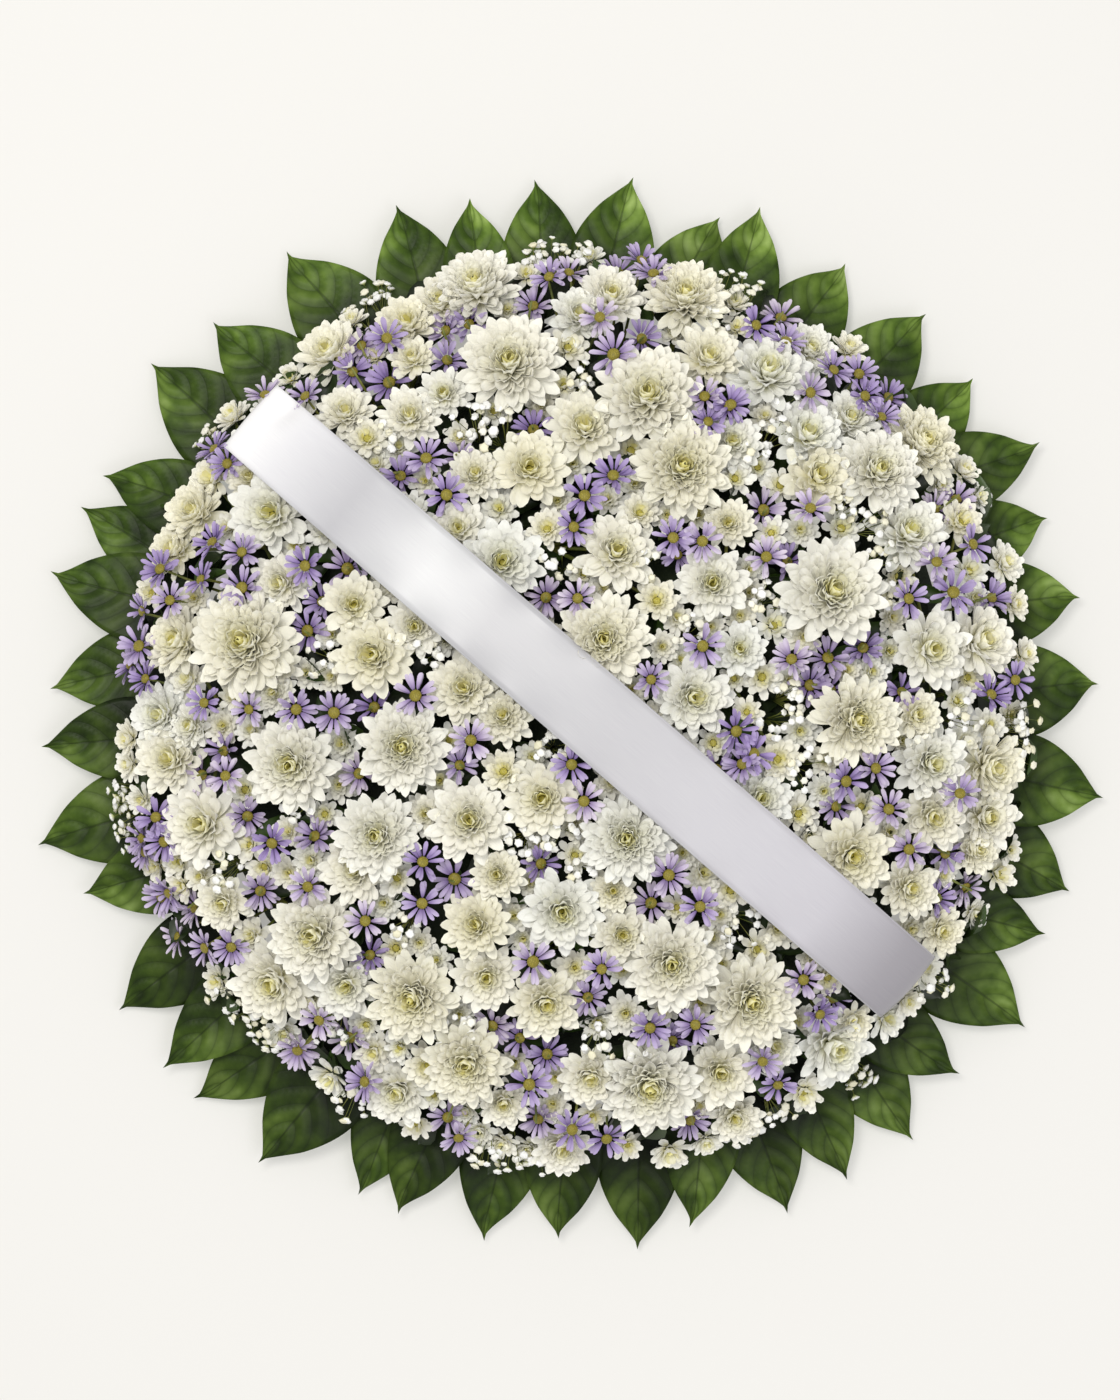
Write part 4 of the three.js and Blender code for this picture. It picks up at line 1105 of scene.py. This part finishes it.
board = random.Random(5)
BUTTON_DEPTH, LEAST_ROOM, WIDEST_BUTTON, FILLED_RADIUS = -18.0, 7.0, 22.0, 421.0
CLOSENESS, NARROWEST_BUTTON, THROWS = 0.78, 9.0, 9000
buttons = []
for _ in range(THROWS):
    turn, far = board.uniform(0, 2 * math.pi), FILLED_RADIUS * math.sqrt(board.random())
    x, y = far * math.cos(turn), far * math.sin(turn)
    room = min(math.hypot(x - a, y - b) - CLOSENESS * r for a, b, r in taken)
    if room > LEAST_ROOM:
        buttons.append((x, y, min(WIDEST_BUTTON, NARROWEST_BUTTON + room)))
        taken.append(buttons[-1])
sectors = {}
for x, y, radius in buttons:
    sector = int(((math.degrees(math.atan2(y, x)) + 360) % 360) // 60) + 1
    place, out = on_flowers(x, y, BUTTON_DEPTH + board.uniform(-5, 5))
    kind = board.choice((4, 0, 1, 2, 3, 4))
    sectors.setdefault(sector, []).append((
        place, looking(out, 0.25), board.uniform(0, ANY_TURN), 1.12 * radius, kind, 0.3 + 0.6 * board.random()))
for sector, spots in sorted(sectors.items()):
    name = f"button_chrysanthemums_{sector}"
    piece(name, plant(name, spots, button_heads, white_petal))
print("buttons:", len(buttons))

# %% [markdown]
# Gypsophila
#
# The cloud of tiny white flowers is gypsophila. Each blossom is a ruffled cup about nine millimetres wide
# on a stem as thin as wire, and a dozen of them share a fork. Four blossom shapes are enough, because
# each is turned and sized on its own. At the rim the sprays lean out over the leaves.

# %% Blossoms and sprigs of gypsophila
BLOSSOM_RINGS = [(0.30, -0.30, 0.0), (0.98, 0.25, 0.7), (0.62, 0.52, 1.0)]  # radius, height, colour
BLOSSOM_PETALS = 6
BLOSSOM_BOTTOM, BLOSSOM_TOP = -0.75, 0.40


def blossom_shape(name, dice):
    """A small double blossom: green cup below, two ruffled rings of white petals, closed on top."""
    n = 2 * BLOSSOM_PETALS
    points, along = [(0, 0, BLOSSOM_BOTTOM)], [0.0]
    for ring, (wide, high, colour) in enumerate(BLOSSOM_RINGS):
        for k in range(n):
            turn = math.pi * k / BLOSSOM_PETALS + 0.4 * ring
            ruffle = (1.0, 0.82)[(k + ring) % 2] * dice.uniform(0.88, 1.1) if ring else 1.0
            points.append((wide * ruffle * math.cos(turn), wide * ruffle * math.sin(turn),
                           high + (dice.uniform(-0.08, 0.12) if ring else 0)))
            along.append(colour)
    points.append((0, 0, BLOSSOM_TOP))
    along.append(0.9)
    faces = [(0, 1 + (k + 1) % n, 1 + k) for k in range(n)]
    for ring in range(len(BLOSSOM_RINGS) - 1):
        a, b = 1 + ring * n, 1 + (ring + 1) * n
        faces += [(a + k, a + (k + 1) % n, b + (k + 1) % n, b + k) for k in range(n)]
    last = 1 + (len(BLOSSOM_RINGS) - 1) * n
    faces += [(last + k, last + (k + 1) % n, len(points) - 1) for k in range(n)]
    mesh = plain_mesh(name, points, faces)
    set_values(mesh, "along", along)
    return mesh


dice = random.Random(77)
gypsophila_heads = shelf("gypsophila_heads", [blossom_shape(f"blossom_{k}", dice) for k in range(4)])
blossom_petal = plain_finish("gypsophila_blossom", 0.6, [
    ("along", [(0.0, "#8E9A55"), (0.3, "#DDE0B4"), (0.55, "#FBFBF6"), (1.0, "#FDFDFB")]),
    ("tint", [(0.0, "#F4EFD2"), (0.5, "#FFFFFF")])], grain=900.0, strength=0.4, depth=0.0005)
stem_green = plain_finish("fresh_cut_stem", 0.5, [
    ({"Scale": 60.0, "Detail": 3.0}, [(0.3, "#4A5522"), (0.5, "#6E7630"), (0.7, "#8E8A45")])],
    grain=500.0, strength=0.3, depth=0.0003)

SPRIG_FOOT, SPRIG_FOOT_DEPTH = 0.93, -30  # a sprig springs from a little nearer the middle, and deeper
LEAST_BLOSSOM, WIDEST_BLOSSOM = 3.4, 5.4
dice = random.Random(88)
for name, sprigs, lift in (("rim", RIM_SPRIGS, 8), ("inner", INNER_SPRIGS, 5)):
    spots, points, faces = [], [], []
    for x, y, spread, count in sprigs:
        middle, out = on_flowers(x, y, lift)
        out = (out + LEVELLED).normalized()
        root = on_flowers(SPRIG_FOOT * x, SPRIG_FOOT * y, SPRIG_FOOT_DEPTH)[0]
        side = out.cross(Vector((0, 1, 0.3))).normalized()
        up = out.cross(side)
        for _ in range(count):
            turn, far = dice.uniform(0, ANY_TURN), spread * math.sqrt(dice.random())
            tip = middle + side * (far * math.cos(turn)) + up * (far * math.sin(turn))
            tip += out * dice.uniform(-9, 7)
            nod = Vector([dice.uniform(-0.3, 0.3) for _ in range(3)])
            way = (out + (tip - middle) * 0.03 + nod).normalized()
            radius = dice.uniform(LEAST_BLOSSOM, WIDEST_BLOSSOM)
            spots.append((tip, way, turn, radius, dice.randrange(4), dice.random()))
            bow = (root * 0.45 + tip * 0.55) - way * 6
            tube_skin([root, bow, tip - way * 1.5], (0.6, 0.45, 0.35), 3, points, faces)
    label = f"gypsophila_{name}_blossoms"
    piece(label, plant(label, spots, gypsophila_heads, blossom_petal))
    mesh = plain_mesh(f"gypsophila_{name}_stems", points, faces)
    mesh.materials.append(stem_green)
    piece(mesh.name, mesh)
    print(name, "blossoms:", len(spots))

# %% [markdown]
# Stems and undergrowth
#
# Under the heads are their stems, and short leafy ends of the same foliage. The small leaves are near black, as
# painted shade, and darker still at the stalk; they are half hidden, but they are what shows in every gap, and
# they cover the foam as a florist's greenery does.

# %% Stems and small leaves over the foam
FOAM_TOP, FOAM_RISE, FOAM_MARGIN = 12 + 28, 98, 0.93  # the dome's shoulder over the disc, and its rise
SINGLE_STEM, SPRAY_STEM, BRANCH, DAISY_STEM = (2.6, 3.0), (3.0, 3.0), (2.2, 1.8, 1.5), (1.6, 1.4, 1.1)


def on_foam(x, y, lift):
    """A place over the foam's skin, in millimetres, kept a little way in from its edge."""
    inside = min(1.0, FOAM_MARGIN * FOAM_RADIUS / max(1e-6, math.hypot(x, y)))
    level = math.sqrt(max(0.0, 1 - (x * x + y * y) * inside**2 / FOAM_RADIUS**2))
    return Vector((x * inside, y * inside, FOAM_TOP + FOAM_RISE * level + lift))


points, faces = [], []
for x, y, radius in SINGLE_BLOOMS:
    top = on_flowers(x, y, 0)[0]
    tube_skin([top, on_foam(0.84 * x, 0.84 * y, -8)], SINGLE_STEM, 7, points, faces)
for fork, heads in WHITE_SPRAYS:
    hub = on_foam(*fork, 9)
    tube_skin([hub, on_foam(*fork, -10)], SPRAY_STEM, 7, points, faces)
    for x, y, radius in heads:
        top, out = on_flowers(x, y, SPRAY_LIFT)
        tube_skin([hub, (hub + top) / 2 - out * 6, top - out * 0.3 * radius], BRANCH, 5, points, faces)
for x, y, radius in [head for heads in daisy_clusters for head in heads]:
    top, out = on_flowers(x, y, DAISY_LIFT - 6)
    foot = on_foam(x + rng.uniform(-14, 14), y + rng.uniform(-14, 14), -4)
    bow = (foot + top) / 2 + Vector((rng.uniform(-4, 4), rng.uniform(-4, 4), 0))
    tube_skin([foot, bow, top], DAISY_STEM, 5, points, faces)
stems = plain_mesh("flower_stems", points, faces)
stems.materials.append(stem_green)
piece("flower_stems", stems)

undergrowth_shapes = shelf("undergrowth_shapes", [
    petal_shape(f"small_leaf_{i}", list(zip((0.12, 0.35, 0.58, 0.80, 0.93), halves)), curl, cup, 0.02)
    for i, (halves, curl, cup) in enumerate([
        ((0.22, 0.46, 0.44, 0.25, 0.09), -0.12, 0.22), ((0.20, 0.42, 0.46, 0.30, 0.10), 0.16, 0.26)])])
# painted shade: the small leaves are near black, and darker still towards their stalk
small_leaf_painted_shade = plain_finish("shaded_small_leaf", 0.45, [
    ("tint", [(0.0, "#16210C"), (0.6, "#26380F"), (1.0, "#3F5A1E")]),
    ("along", [(0.0, "#9AA080"), (0.8, "#FFFFFF")])], grain=400.0, strength=0.3, depth=0.0004)

LOWEST_LEAF = 54.0  # so that no tip of a small leaf reaches down into the disc
SMALL_LEAVES, LEAFY_RADIUS = 620, 418
dice = random.Random(99)
spots = []
for k in range(SMALL_LEAVES):
    turn = dice.uniform(0, 2 * math.pi)
    far = LEAFY_RADIUS * math.sqrt((k + 0.5) / SMALL_LEAVES)
    place, out = on_flowers(far * math.cos(turn), far * math.sin(turn), dice.uniform(-40, -26))
    place.z = max(place.z, LOWEST_LEAF)
    aside = out.cross(Vector((math.cos(turn * 7), math.sin(turn * 5), 0.4))).normalized()
    spin = dice.uniform(0, ANY_TURN)
    size = dice.uniform(34, 52), dice.uniform(16, 24), dice.uniform(34, 52)
    spots.append((place, (aside * 0.5 + out).normalized(), spin, size, dice.randrange(2), dice.random()))
piece("undergrowth", plant("undergrowth", spots, undergrowth_shapes, small_leaf_painted_shade))
print("stem triangles:", triangles(stems), "small leaves:", len(spots))

# %% [markdown]
# Foam, disc and pins
#
# Four solids keep their own shape and only need their finish. Wet floral foam is phenolic and matt, with pores
# under half a millimetre; its colour here is near black, partly its own dark green and partly painted shade for
# the gaps where it shows. The disc is birch plywood, with growth bands a few millimetres apart. The two pins
# are drawn steel wire.

# %% Finishes of the solids that stay
wire = plain_finish("drawn_steel_wire", 0.3, [
    ({"Scale": 300.0}, [(0.3, "#8C8E90"), (0.7, "#B4B6B8")])], Metallic=1.0)

foam, tree, shader = material("wet_floral_foam", 0.95)
spot = add(tree, "ShaderNodeTexCoord").outputs["Object"]
patches = add(tree, "ShaderNodeTexNoise", {"Scale": 30.0, "Detail": 4.0, "Vector": spot})
pores = add(tree, "ShaderNodeTexVoronoi", {"Scale": 900.0, "Vector": spot})
# near black: the foam's own dark green with painted shade for the gaps where it shows
coat(tree, shader, washes(tree, (patches, [(0.3, "#10160B"), (0.7, "#1F2A14")])), pores, 0.6, 0.0005)

wood, tree, shader = material("birch_plywood", 0.6)
spot = add(tree, "ShaderNodeTexCoord").outputs["Object"]
laid = add(tree, "ShaderNodeMapping", {"Scale": (1.0, 9.0, 9.0), "Vector": spot})
warp = add(tree, "ShaderNodeTexNoise", {"Scale": 3.0, "Detail": 4.0, "Distortion": 1.2, "Vector": laid})
bands = add(tree, "ShaderNodeMath", {"operation": "MULTIPLY", 0: warp, 1: 55.0})
wave = add(tree, "ShaderNodeMath", {"operation": "SINE", 0: bands})
grain = add(tree, "ShaderNodeMapRange", {"From Min": -1.0, "From Max": 1.0, "Value": wave})
fibre = add(tree, "ShaderNodeTexNoise", {"Scale": 60.0, "Detail": 3.0, "Vector": laid})
growth = washes(tree, (grain, [(0.0, "#C39E6C"), (0.6, "#D4B383"), (1.0, "#DDBF92")]))
coat(tree, shader, growth, fibre, 0.3, 0.0005)


def dress(node, made):
    """Gives a solid that stays its material."""
    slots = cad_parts[node].material_slots
    for holder in slots:
        holder.material = made
    return len(slots)


finishes = {"foam_dome": foam, "backing_disc": wood, "ribbon_pin_upper": wire, "ribbon_pin_lower": wire}
print("dressed:", [dress(node, made) for node, made in finishes.items()])
